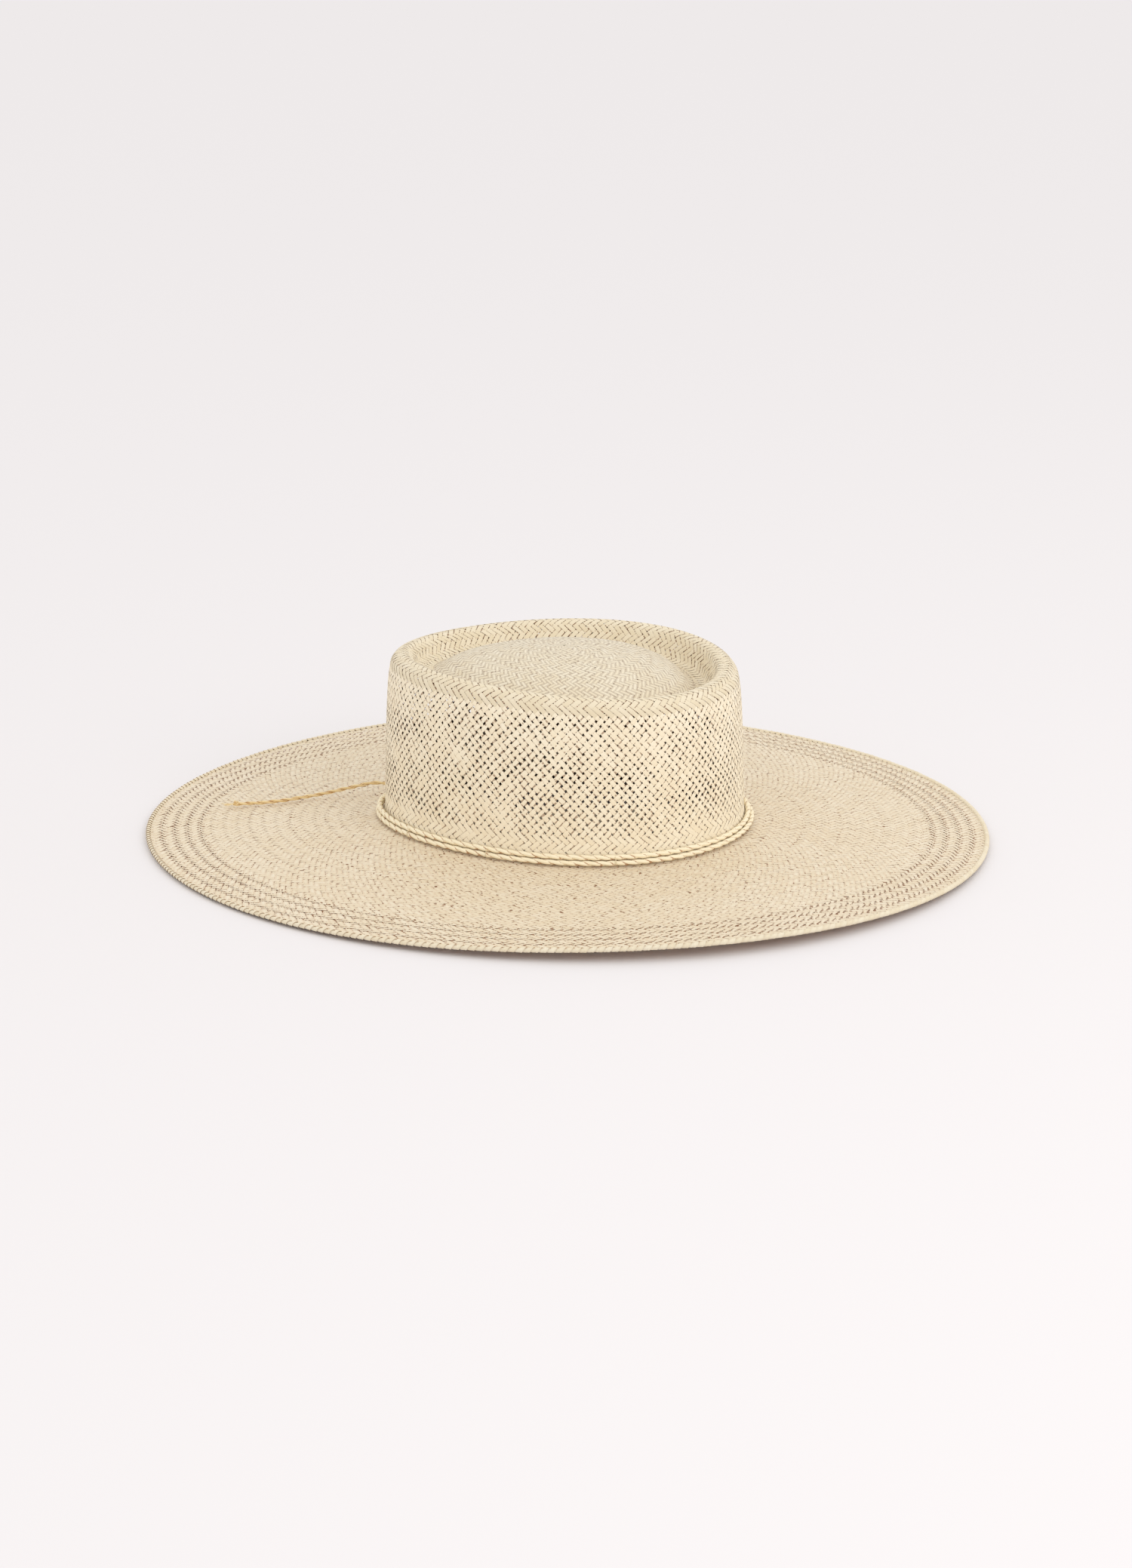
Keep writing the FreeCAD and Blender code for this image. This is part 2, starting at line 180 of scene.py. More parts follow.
def skinTree(*names):
    points = []
    faces = []
    for name in names:
        mesh = nodes[name].data
        first = len(points)
        points += [vertex.co.copy() for vertex in mesh.vertices]
        faces += [[first + index for index in face.vertices] for face in mesh.polygons]
    return BVHTree.FromPolygons(points, faces)


def heading(angle):
    return Vector((math.cos(angle), math.sin(angle), 0.0))


def evenAngles(tree, count, height):
    # directions from the crown's middle that part its wall into equal lengths
    fine = 2880
    turns = np.linspace(0.0, 2.0 * math.pi, fine + 1)
    ring = []
    for turn in turns:
        away = heading(turn)
        origin = crownMiddle + away * walkSettings["farOff"] + Vector((0.0, 0.0, height))
        ring.append(tree.ray_cast(origin, -away)[0][:])
    ring = np.array(ring)
    run = np.concatenate([[0.0], np.cumsum(np.linalg.norm(np.diff(ring, axis=0), axis=1))])
    return np.interp(np.arange(count) / count * run[-1], run, turns)


def walk(tree, start, forward, away, arrived):
    across = Vector((-away.y, away.x, 0.0))
    here = start
    path = []
    while not arrived(here) and len(path) < 500:
        spot, normal = tree.find_nearest(here + forward * walkSettings["step"])[:2]
        ahead = spot + normal * walkSettings["standOff"]
        ahead -= across * (ahead - crownMiddle).dot(across)
        forward = (ahead - here).normalized()
        here = ahead
        path.append((ahead - normal * walkSettings["standOff"])[:])
    return path


def beadLine(angles):
    # centre line of the rolled edge, found by level rays from outside
    tree = skinTree("edge_braid")
    low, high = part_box("edge_braid")
    centres = []
    for angle in angles:
        away = heading(angle)
        hits = []
        for height in np.arange(low.z + 0.0001, high.z, 0.00025):
            origin = crownMiddle + away * 0.4 + Vector((0.0, 0.0, height))
            spot = tree.ray_cast(origin, -away, 0.3)[0]
            if spot is not None:
                hits.append(((spot - crownMiddle).dot(away), height))
        hits = np.array(hits)
        reach = hits[:, 0].max()
        near = hits[hits[:, 0] > reach - 0.001]
        centres.append((reach, near[:, 1].mean()))
    return np.array(centres)


def roundMean(values, width):
    half = width // 2
    wrapped = np.concatenate([values[-half:], values, values[:half]])
    return np.convolve(wrapped, np.ones(width) / width, "valid")


def walkSkin():
    tree = skinTree("brim", "crown_side", "crown_tip")
    angles = evenAngles(tree, walkSettings["columns"], walkSettings["startHeight"])
    bead = beadLine(angles)
    paths = []
    farOff = walkSettings["farOff"]
    startHeight = Vector((0.0, 0.0, walkSettings["startHeight"]))
    peak = tree.ray_cast(crownMiddle + Vector((0.0, 0.0, farOff)), Vector((0.0, 0.0, -1.0)))[0]
    for angle, (reach, _) in zip(angles, bead):
        away = heading(angle)
        origin = crownMiddle + away * farOff + startHeight
        start = tree.ray_cast(origin, -away)[0] + away * walkSettings["standOff"]
        down = walk(tree, start, Vector((0.0, 0.0, -1.0)), away,
                    lambda here: (here - crownMiddle).dot(away) > reach - walkSettings["edgeInset"])
        up = walk(tree, start, Vector((0.0, 0.0, 1.0)), away,
                  lambda here: (here - crownMiddle).dot(away) < walkSettings["centreRadius"])
        path = np.array(down[::-1] + up)
        outwards = path[0] - path[3]
        tail = path[0] + outwards / np.linalg.norm(outwards) * walkSettings["intoBead"]
        paths.append(np.vstack([tail, path, peak + away * walkSettings["lastStep"]]))
    return angles, bead, paths


def pathLengths(path):
    return np.concatenate([[0.0], np.cumsum(np.linalg.norm(np.diff(path, axis=0), axis=1))])


def landmarks(angles, paths):
    # lengths from the brim's edge to the foot, the ridge, the channel and the middle
    marks = []
    for angle, path in zip(angles, paths):
        away = np.array(heading(angle))
        reach = (path - np.array(crownMiddle)) @ away
        run = pathLengths(path)
        height = path[:, 2]
        near = reach[1:] < walkSettings["footWithin"] * reach[0]
        steep = (np.abs(np.diff(height)) > np.abs(np.diff(reach))) & near
        foot = run[np.argmax(steep)]
        outer = reach > walkSettings["ridgeBeyond"] * reach[run > foot][0]
        top = np.argmax(np.where(outer, height, 0.0))
        past = run - run[top]
        inside = (past > walkSettings["channelFrom"]) & (past < walkSettings["channelTo"])
        low = np.argmin(np.where(inside, height, 1.0))
        marks.append((foot, run[top], run[low], run[-1]))
    marks = np.array(marks)
    return np.stack([roundMean(column, walkSettings["wander"]) for column in marks.T], axis=1)


def ringsBetween(paths, stops, rows):
    # rings of points at even steps through the stretches between the stops
    spans = np.diff(stops, axis=1).mean(axis=0)
    ends = np.concatenate([[0.0], np.cumsum(spans)])
    wanted = np.linspace(0.0, ends[-1], rows)
    rings = np.empty((rows, len(paths), 3))
    for column, (path, own) in enumerate(zip(paths, stops)):
        run = np.interp(wanted, ends, own)
        lengths = pathLengths(path)
        for axis in range(3):
            rings[:, column, axis] = np.interp(run, lengths, path[:, axis])
    return rings, ends[-1]


def ringNormals(rings):
    around = np.roll(rings, -1, axis=1) - np.roll(rings, 1, axis=1)
    along = np.gradient(rings, axis=0)
    normals = np.cross(around, along)
    for _ in range(3):
        normals = (np.roll(normals, 1, axis=1) + 2.0 * normals + np.roll(normals, -1, axis=1)) / 4.0
    return normals / np.linalg.norm(normals, axis=2, keepdims=True)


def ringGirths(rings):
    return np.linalg.norm(np.roll(rings, -1, axis=1) - rings, axis=2).sum(axis=1)


def ringBlock(name, rings, length, sink):
    # a form to weave on: u runs round it and v along it
    normals = ringNormals(rings)
    girths = ringGirths(rings)
    points = (rings - normals * sink).reshape(-1, 3)
    rows, columns = rings.shape[:2]
    row, column = np.meshgrid(np.arange(rows - 1), np.arange(columns), indexing="ij")
    after = (column + 1) % columns
    faces = np.stack([row * columns + column, row * columns + after,
                      (row + 1) * columns + after, (row + 1) * columns + column], axis=-1)
    mesh = bpy.data.meshes.new(name)
    mesh.from_pydata(points.tolist(), [], faces.reshape(-1, 4).tolist())
    u = np.stack([column, column + 1, column + 1, column], axis=-1) / columns
    v = np.stack([row, row, row + 1, row + 1], axis=-1) / (rows - 1)
    layer = mesh.uv_layers.new(name="UVMap")
    layer.data.foreach_set("uv", np.stack([u, v], axis=-1).ravel())
    outward = mesh.attributes.new("outward", "FLOAT_VECTOR", "POINT")
    outward.data.foreach_set("vector", normals.ravel())
    girth = mesh.attributes.new("girth", "FLOAT", "POINT")
    girth.data.foreach_set("value", np.repeat(girths, columns))
    return {"mesh": mesh, "length": float(length), "girths": girths}


# Weaving

def weaveTree():
    tree, given, out = newTree("weaveRing", "GeometryNodeTree", [
        ("Block", "Geometry", None),
        ("Strands", "Int", 100),
        ("Families", "Int", 2),
        ("First Row", "Float", 0.0),
        ("Rows", "Int", 10),
        ("Steps", "Int", 2),
        ("Section Points", "Int", 6),
        ("Row Height", "Float", 0.002),
        ("Open Row Height", "Float", 0.002),
        ("Open From", "Float", 0.0),
        ("Open To", "Float", 0.0),
        ("Block Length", "Float", 0.1),
        ("Slant", "Float", 0.5),
        ("Fill", "Float", 0.97),
        ("Open Fill", "Float", 0.74),
        ("Thickness", "Float", 0.00035),
        ("Lift", "Float", 0.0003),
        ("Shingle", "Float", 0.0),
        ("Wander", "Float", 0.1),
        ("Ragged", "Float", 0.14),
        ("Patchiness", "Float", 0.0),
        ("Ring Gap", "Float", 0.0),
        ("Ring From", "Float", 0.0),
        ("Ring To", "Float", 0.0),
        ("Ring Period", "Float", 4.0),
        ("Seed", "Int", 1),
        ("Material", "Material", None),
    ], [("Weave", "Geometry")])

    def c(operation, *values):
        return calc(tree, operation, *values)

    count = c("MULTIPLY", given["Strands"], given["Families"])
    line = addNode(tree, "GeometryNodeMeshLine", None, {"Count": count, "Offset": (0.0, 0.0, 0.0)})
    index = tree.nodes.new("GeometryNodeInputIndex").outputs[0]
    marked = stored(tree, line.outputs[0], "strand", index)
    tone = addNode(tree, "FunctionNodeRandomValue", {"data_type": "FLOAT"},
                   {"ID": index, "Seed": given["Seed"]}).outputs[1]
    marked = stored(tree, marked, "tone", tone)

    segments = c("MULTIPLY", given["Rows"], given["Steps"])
    straw = addNode(tree, "GeometryNodeMeshCylinder", {"fill_type": "NGON"},
                    {"Vertices": given["Section Points"], "Side Segments": segments,
                     "Radius": 1.0, "Depth": 1.0})
    copies = addNode(tree, "GeometryNodeInstanceOnPoints", None,
                     {"Points": marked, "Instance": straw.outputs["Mesh"]})
    apart = addNode(tree, "GeometryNodeRealizeInstances", None,
                    {"Geometry": copies.outputs[0]}).outputs[0]

    # place on the unrolled block: strand and row, and the point of the section
    local = addNode(tree, "ShaderNodeSeparateXYZ", None,
                    {"Vector": tree.nodes.new("GeometryNodeInputPosition").outputs[0]}).outputs
    proud, aside = local[0], local[1]
    strand = namedValue(tree, "strand")
    family = c("SUBTRACT", 1.0, c("MULTIPLY", 2.0, c("FLOOR", c("DIVIDE", strand, given["Strands"]))))
    run = c("MULTIPLY", c("ADD", local[2], 0.5), given["Rows"])
    row = c("ADD", given["First Row"], run)

    openRows = c("SUBTRACT", given["Open To"], given["Open From"])
    inOpen = c("MINIMUM", c("MAXIMUM", c("SUBTRACT", row, given["Open From"]), 0.0), openRows)
    stretch = c("SUBTRACT", given["Open Row Height"], given["Row Height"])
    along = c("ADD", c("MULTIPLY", row, given["Row Height"]), c("MULTIPLY", inOpen, stretch))

    rise = c("MINIMUM", c("SUBTRACT", row, given["Open From"]), 2.0)
    fall = c("MINIMUM", c("SUBTRACT", given["Open To"], row), 2.0)
    openness = c("MULTIPLY", c("MAXIMUM", c("MINIMUM", rise, fall), 0.0), 0.5)
    rowHeight = c("ADD", given["Row Height"], c("MULTIPLY", stretch, openness))

    def noise(scaleAlong, salt, detail=1.0):
        spot = joined(tree, c("MULTIPLY", strand, 3.17), c("MULTIPLY", row, scaleAlong),
                      c("ADD", given["Seed"], salt))
        node = addNode(tree, "ShaderNodeTexNoise", None,
                       {"Vector": spot, "Scale": 1.0, "Detail": detail})
        return c("MULTIPLY", c("SUBTRACT", node.outputs[0], 0.5), 2.0)

    shift = c("MULTIPLY", c("MULTIPLY", family, given["Slant"]), row)
    lane = c("ADD", strand, c("ADD", shift, c("MULTIPLY", noise(0.21, 0.3), given["Wander"])))
    around = c("DIVIDE", lane, given["Strands"])
    level = c("DIVIDE", along, given["Block Length"])

    def sample(kind, value, u, v):
        spot = joined(tree, c("MINIMUM", c("MAXIMUM", c("FRACT", u), 0.00002), 0.99998),
                      c("MINIMUM", c("MAXIMUM", v, 0.0002), 0.9998))
        node = addNode(tree, "GeometryNodeSampleUVSurface", {"data_type": kind},
                       {"Mesh": given["Block"], "Value": value,
                        "UV Map": namedValue(tree, "UVMap", "FLOAT_VECTOR"), "Sample UV": spot})
        return node.outputs["Value"]

    girth = sample("FLOAT", namedValue(tree, "girth"), around, level)
    pitch = c("DIVIDE", girth, given["Strands"])
    sideways = c("MULTIPLY", c("MULTIPLY", family, given["Slant"]), pitch)
    slope = c("SQRT", c("ADD", c("MULTIPLY", sideways, sideways), c("MULTIPLY", rowHeight, rowHeight)))
    spacing = c("DIVIDE", c("MULTIPLY", pitch, rowHeight), slope)

    fill = c("ADD", given["Fill"],
             c("MULTIPLY", openness, c("SUBTRACT", given["Open Fill"], given["Fill"])))
    wave = c("COSINE", c("MULTIPLY", 2.0 * math.pi,
                         c("DIVIDE", c("SUBTRACT", row, given["Ring From"]), given["Ring Period"])))
    pulse = c("POWER", c("ADD", c("MULTIPLY", wave, 0.5), 0.5), 3.0)
    within = c("MULTIPLY", c("GREATER_THAN", row, c("SUBTRACT", given["Ring From"], 1.5)),
               c("LESS_THAN", row, given["Ring To"]))
    gap = c("MULTIPLY", given["Ring Gap"], c("MULTIPLY", pulse, within))
    fill = c("SUBTRACT", fill, gap)
    ragged = c("MULTIPLY", given["Ragged"], c("ADD", 1.0, openness))
    fill = c("MULTIPLY", fill, c("ADD", 1.0, c("MULTIPLY", noise(0.37, 7.7, 2.0), ragged)))
    circle = c("MULTIPLY", around, 2.0 * math.pi)
    area = joined(tree, c("MULTIPLY", c("COSINE", circle), 2.6), c("MULTIPLY", c("SINE", circle), 2.6),
                  c("ADD", c("MULTIPLY", row, 0.13), given["Seed"]))
    loose = addNode(tree, "ShaderNodeTexNoise", None, {"Vector": area, "Scale": 1.0, "Detail": 1.0})
    slack = c("MULTIPLY", c("SUBTRACT", loose.outputs[0], 0.42), 2.0)
    fill = c("SUBTRACT", fill, c("MULTIPLY", c("MULTIPLY", slack, given["Patchiness"]), openness))
    reach = c("MULTIPLY", c("MULTIPLY", aside, 0.5), c("MULTIPLY", fill, spacing))
    moveU = c("DIVIDE", c("MULTIPLY", reach, c("DIVIDE", rowHeight, slope)), girth)
    moveV = c("DIVIDE", c("MULTIPLY", reach, c("DIVIDE", sideways, slope)), given["Block Length"])
    u = c("ADD", around, moveU)
    v = c("SUBTRACT", level, moveV)

    # over and under: plain weave in the open rows and twill in the closed ones
    def side(step):
        plain = c("SUBTRACT", 1.0, c("MULTIPLY", 2.0, c("FLOORED_MODULO", step, 2.0)))
        half = c("FLOOR", c("MULTIPLY", step, 0.5))
        twill = c("SUBTRACT", 1.0, c("MULTIPLY", 2.0, c("FLOORED_MODULO", half, 2.0)))
        isOpen = c("MULTIPLY", c("GREATER_THAN", step, c("SUBTRACT", given["Open From"], 0.5)),
                   c("LESS_THAN", step, c("ADD", given["Open To"], 0.5)))
        return c("ADD", twill, c("MULTIPLY", isOpen, c("SUBTRACT", plain, twill)))

    nudged = c("ADD", row, 0.0001)
    base = c("FLOOR", nudged)
    part = c("SUBTRACT", nudged, base)
    ease = c("MULTIPLY", c("MULTIPLY", part, part), c("SUBTRACT", 3.0, c("MULTIPLY", 2.0, part)))
    here = side(base)
    over = c("ADD", here, c("MULTIPLY", ease, c("SUBTRACT", side(c("ADD", base, 1.0)), here)))
    over = c("MULTIPLY", over, family)
    height = c("ADD", c("MULTIPLY", over, given["Lift"]),
               c("MULTIPLY", c("MULTIPLY", proud, given["Thickness"]), 0.5))
    height = c("ADD", height, c("MULTIPLY", aside, given["Shingle"]))

    spot = sample("FLOAT_VECTOR", tree.nodes.new("GeometryNodeInputPosition").outputs[0], u, v)
    outward = sample("FLOAT_VECTOR", namedValue(tree, "outward", "FLOAT_VECTOR"), u, v)
    goal = aim(tree, "ADD", spot, scaled(tree, outward, height))

    fibre = joined(tree, c("ADD", c("MULTIPLY", aside, 0.5), 0.5),
                   c("ADD", c("MULTIPLY", c("SUBTRACT", row, given["First Row"]), 0.5), strand))
    ready = stored(tree, apart, "UVMap", fibre, "FLOAT2", "CORNER")
    ready = stored(tree, ready, "over", c("ADD", c("MULTIPLY", over, 0.5), 0.5))
    ready = stored(tree, ready, "slit", gap)
    # how far a point faces the inside of the hat; the material paints shade there
    ready = stored(tree, ready, "inner", c("MAXIMUM", c("SUBTRACT", 0.4, c("MULTIPLY", proud, 1.4)), 0.0))
    moved = addNode(tree, "GeometryNodeSetPosition", None, {"Geometry": ready, "Position": goal})
    bend = tree.nodes.new("GeometryNodeInputMeshEdgeAngle").outputs["Unsigned Angle"]
    soft = c("LESS_THAN", bend, math.radians(55.0))
    smooth = addNode(tree, "GeometryNodeSetShadeSmooth", {"domain": "EDGE"},
                     {"Geometry": moved.outputs[0], "Shade Smooth": soft})
    painted = addNode(tree, "GeometryNodeSetMaterial", None,
                      {"Geometry": smooth.outputs[0], "Material": given["Material"]})
    tree.links.new(painted.outputs[0], out["Weave"])
    return tree


# Materials

def linear(red, green, blue):
    def one(value):
        value /= 255.0
        return value / 12.92 if value <= 0.04045 else ((value + 0.055) / 1.055) ** 2.4
    return one(red), one(green), one(blue), 1.0


def fibreGrainGroup():
    group, given, out = newTree("fibreGrain", "ShaderNodeTree", [
        ("Place", "Vector", None), ("Across", "Float", 6.0), ("Along", "Float", 1.5)],
        [("Grain", "Float"), ("Height", "Float")])
    stretch = aim(group, "MULTIPLY", given["Place"], joined(group, given["Across"], given["Along"], 1.0))
    fine = addNode(group, "ShaderNodeTexNoise", None,
                   {"Vector": stretch, "Scale": 1.0, "Detail": 4.0, "Roughness": 0.65})
    coarse = addNode(group, "ShaderNodeTexNoise", None,
                     {"Vector": stretch, "Scale": 0.35, "Detail": 2.0})
    group.links.new(coarse.outputs[0], out["Grain"])
    group.links.new(fine.outputs[0], out["Height"])
    return group


def patchesGroup():
    group, given, out = newTree("weatheredPatches", "ShaderNodeTree", [
        ("Size", "Float", 0.04), ("Contrast", "Float", 1.0)], [("Patch", "Float")])
    where = addNode(group, "ShaderNodeTexCoord").outputs["Object"]
    noise = addNode(group, "ShaderNodeTexNoise", None,
                    {"Vector": where, "Scale": calc(group, "DIVIDE", 1.0, given["Size"]), "Detail": 3.0})
    spread = calc(group, "MULTIPLY", calc(group, "SUBTRACT", noise.outputs[0], 0.5), given["Contrast"])
    group.links.new(clamped(group, calc(group, "ADD", spread, 0.5), 0.0, 1.0), out["Patch"])
    return group


fibreGrain = fibreGrainGroup()
weatheredPatches = patchesGroup()


def newMaterial(name):
    material = bpy.data.materials.new(name)
    material.use_nodes = True
    tree = material.node_tree
    shader = tree.nodes["Principled BSDF"]
    return material, tree, shader


def useGroup(tree, group, inputs):
    node = tree.nodes.new("ShaderNodeGroup")
    node.node_tree = group
    for name, value in inputs.items():
        plug(tree, value, node.inputs[name])
    return node.outputs


def blendColours(tree, factor, first, second, mode="MIX"):
    node = addNode(tree, "ShaderNodeMix", {"data_type": "RGBA", "blend_type": mode})
    plug(tree, factor, node.inputs["Factor"])
    plug(tree, first, node.inputs[6])
    plug(tree, second, node.inputs[7])
    return node.outputs[2]


strawShares = {
    "tone": 0.55,            # how much of the colour's change comes from the strand's own tone
    "grain": 0.35,           # from its fibres
    "patch": 0.25,           # and from the age of the whole area
    "edgePower": 4.0,
    "slitWidens": 0.5,       # the brown line is wider by this where the weave is loose
    "diveRamp": 0.1,
    "chanceLevel": 0.5,      # fibres paler than this get only a trace of the line
    "slitChance": 0.1,
    "chanceSlope": 16.0,
    "chanceMiddle": 0.35,
    "chanceLeast": 0.03,
}


def strawMaterial(name, look):
    share = strawShares
    material, tree, shader = newMaterial(name)
    unrolled = addNode(tree, "ShaderNodeUVMap", {"uv_map": "UVMap"}).outputs[0]
    tone = addNode(tree, "ShaderNodeAttribute", {"attribute_name": "tone"}).outputs["Fac"]
    over = addNode(tree, "ShaderNodeAttribute", {"attribute_name": "over"}).outputs["Fac"]
    inner = addNode(tree, "ShaderNodeAttribute", {"attribute_name": "inner"}).outputs["Fac"]
    grain = useGroup(tree, fibreGrain, {"Place": unrolled, "Across": look["fibresAcross"],
                                        "Along": look["fibresAlong"]})
    patch = useGroup(tree, weatheredPatches, {"Size": look["patchSize"], "Contrast": 2.0})
    mixed = calc(tree, "ADD", calc(tree, "MULTIPLY", tone, share["tone"]),
                 calc(tree, "ADD", calc(tree, "MULTIPLY", grain["Grain"], share["grain"]),
                      calc(tree, "MULTIPLY", patch["Patch"], share["patch"])))
    colour = blendColours(tree, mixed, look["pale"], look["deep"])
    across = addNode(tree, "ShaderNodeSeparateXYZ", None, {"Vector": unrolled}).outputs[0]
    # painted shade: each straw darkens towards its edges, standing in for the shade in the crevices
    # between straws
    edge = calc(tree, "ABSOLUTE", calc(tree, "SUBTRACT", across, 0.5))
    edge = calc(tree, "POWER", calc(tree, "MULTIPLY", edge, 2.0), share["edgePower"])
    edge = calc(tree, "MULTIPLY", edge, look["edgeShade"])
    # painted shade: a brown line where a straw dives under the next one, standing in for the shadow in
    # that crevice, wider where the weave is loose
    slit = addNode(tree, "ShaderNodeAttribute", {"attribute_name": "slit"}).outputs["Fac"]
    brink = calc(tree, "ADD", look["brink"], calc(tree, "MULTIPLY", slit, share["slitWidens"]))
    dive = calc(tree, "DIVIDE", calc(tree, "SUBTRACT", brink, over), share["diveRamp"])
    dive = clamped(tree, dive, 0.0, 1.0)
    level = calc(tree, "SUBTRACT", share["chanceLevel"], calc(tree, "MULTIPLY", slit, share["slitChance"]))
    chance = calc(tree, "SUBTRACT", grain["Grain"], level)
    chance = calc(tree, "ADD", calc(tree, "MULTIPLY", chance, share["chanceSlope"]), share["chanceMiddle"])
    chance = clamped(tree, chance, share["chanceLeast"], 1.0)
    sunk = calc(tree, "MULTIPLY", calc(tree, "MULTIPLY", dive, chance), look["sunkShade"])
    # painted shade: the edge and dive masks together mix the straw towards a brown shade colour
    paintedShade = calc(tree, "MINIMUM", calc(tree, "ADD", edge, sunk), 1.0)
    colour = blendColours(tree, paintedShade, colour, look["paintedShade"])
    # painted shade: faces turned to the inside of the hat are browned, standing in for the shadow in the
    # crown and under the brim
    shade = calc(tree, "MINIMUM", calc(tree, "MULTIPLY", inner, look["insideShade"]), 1.0)
    colour = blendColours(tree, shade, colour, look["inside"])
    plug(tree, colour, shader.inputs["Base Color"])
    rough = calc(tree, "ADD", look["roughness"], calc(tree, "MULTIPLY", grain["Height"], 0.15))
    plug(tree, rough, shader.inputs["Roughness"])
    bump = addNode(tree, "ShaderNodeBump", None,
                   {"Strength": look["bump"], "Distance": 0.0001, "Height": grain["Height"]})
    plug(tree, bump.outputs[0], shader.inputs["Normal"])
    shader.inputs["Specular IOR Level"].default_value = look["gloss"]
    return material


strawLook = {
    "pale": linear(236, 227, 205),
    "deep": linear(226, 212, 183),
    # painted shade: the brown used for the crevices between straws
    "paintedShade": linear(120, 70, 30),
    # painted shade: the colour of inward faces, here the brim's underside, tan in place of its shade
    "inside": linear(206, 152, 104),
    "insideShade": 0.6,
    "brink": 0.6,
    "fibresAcross": 6.0,
    "fibresAlong": 1.4,
    "patchSize": 0.05,
    "edgeShade": 0.03,
    "sunkShade": 0.95,
    "roughness": 0.5,
    "gloss": 0.35,
    "bump": 0.35,
}
strawPaint = strawMaterial("brimStraw", strawLook)
# the crown, ridge and dome paint their inside dark brown as painted shadow
crownPaint = strawMaterial("crownStraw", dict(
    strawLook, pale=linear(249, 240, 218), deep=linear(241, 227, 199), edgeShade=0.05,
    sunkShade=0.65, brink=0.57, inside=linear(104, 66, 38), insideShade=1.0))
domePaint = strawMaterial("domeStraw", dict(
    strawLook, pale=linear(242, 234, 213), deep=linear(233, 220, 192), sunkShade=0.6, edgeShade=0.0,
    inside=linear(112, 74, 44), insideShade=1.0))
ridgePaint = strawMaterial("ridgeStraw", dict(
    strawLook, pale=linear(236, 225, 201), deep=linear(226, 211, 180), sunkShade=0.85, edgeShade=0.06,
    inside=linear(112, 74, 44), insideShade=1.0))
edgePaint = strawMaterial("edgeStraw", dict(strawLook, edgeShade=0.14, sunkShade=0.0))
# painted shade: a deep brown in the lay between plies and under the band
cordLook = dict(strawLook, pale=linear(250, 240, 212), deep=linear(242, 226, 190),
                paintedShade=linear(160, 98, 38), edgeShade=0.0, sunkShade=0.8, fibresAcross=14.0,
                fibresAlong=60.0, insideShade=0.0)
cordPaint = strawMaterial("twistedCordStraw", cordLook)
tailPaint = strawMaterial("looseEndStraw", dict(cordLook, pale=linear(240, 219, 172),
                                                deep=linear(222, 188, 124)))
threadPaint = strawMaterial("stitchThread", dict(strawLook, pale=linear(236, 222, 190),
                                                 deep=linear(214, 192, 150), sunkShade=0.4,
                                                 fibresAcross=8.0, fibresAlong=90.0))


def clothMaterial(name, look):
    # ribbed or plain cloth, on the piece's own unrolled map in threads
    material, tree, shader = newMaterial(name)
    unrolled = addNode(tree, "ShaderNodeUVMap", {"uv_map": "UVMap"}).outputs[0]
    parts = addNode(tree, "ShaderNodeSeparateXYZ", None, {"Vector": unrolled}).outputs
    warp = calc(tree, "SINE", calc(tree, "MULTIPLY", parts[0], 2.0 * math.pi))
    weft = calc(tree, "SINE", calc(tree, "MULTIPLY", parts[1], 2.0 * math.pi))
    cross = calc(tree, "ADD", calc(tree, "MULTIPLY", warp, look["warp"]),
                 calc(tree, "MULTIPLY", weft, look["weft"]))
    patch = useGroup(tree, weatheredPatches, {"Size": look["patchSize"], "Contrast": 2.4})
    grain = useGroup(tree, fibreGrain, {"Place": unrolled, "Across": 0.4, "Along": 0.4})
    mixed = calc(tree, "ADD", calc(tree, "MULTIPLY", patch["Patch"], 0.6),
                 calc(tree, "MULTIPLY", grain["Grain"], 0.4))
    colour = blendColours(tree, mixed, look["pale"], look["deep"])
    plug(tree, colour, shader.inputs["Base Color"])
    rough = calc(tree, "ADD", look["roughness"], calc(tree, "MULTIPLY", grain["Height"], 0.1))
    plug(tree, rough, shader.inputs["Roughness"])
    height = calc(tree, "ADD", cross, calc(tree, "MULTIPLY", grain["Height"], 0.4))
    bump = addNode(tree, "ShaderNodeBump", None,
                   {"Strength": 0.5, "Distance": 0.00012, "Height": height})
    plug(tree, bump.outputs[0], shader.inputs["Normal"])
    shader.inputs["Sheen Weight"].default_value = look["sheen"]
    return material


def steelMaterial():
    material, tree, shader = newMaterial("drawnSteelWire")
    patch = useGroup(tree, weatheredPatches, {"Size": 0.003, "Contrast": 3.0})
    colour = blendColours(tree, patch["Patch"], linear(186, 188, 190), linear(150, 150, 148))
    plug(tree, colour, shader.inputs["Base Color"])
    rough = calc(tree, "ADD", 0.28, calc(tree, "MULTIPLY", patch["Patch"], 0.2))
    plug(tree, rough, shader.inputs["Roughness"])
    shader.inputs["Metallic"].default_value = 1.0
    return material


bandPaint = clothMaterial("ribbedBandCloth", {
    "pale": linear(236, 226, 204), "deep": linear(222, 208, 180), "warp": 0.2, "weft": 0.35,
    "patchSize": 0.03, "roughness": 0.75, "sheen": 0.1})
tapePaint = clothMaterial("joinTapeCloth", {
    "pale": linear(240, 233, 217), "deep": linear(226, 215, 192), "warp": 0.5, "weft": 0.5,
    "patchSize": 0.012, "roughness": 0.8, "sheen": 0.1})
labelPaint = clothMaterial("blankLabelCloth", {
    "pale": linear(248, 247, 243), "deep": linear(232, 229, 222), "warp": 0.3, "weft": 0.3,
    "patchSize": 0.01, "roughness": 0.6, "sheen": 0.15})
steelPaint = steelMaterial()
print("materials made")


# Build the blocks

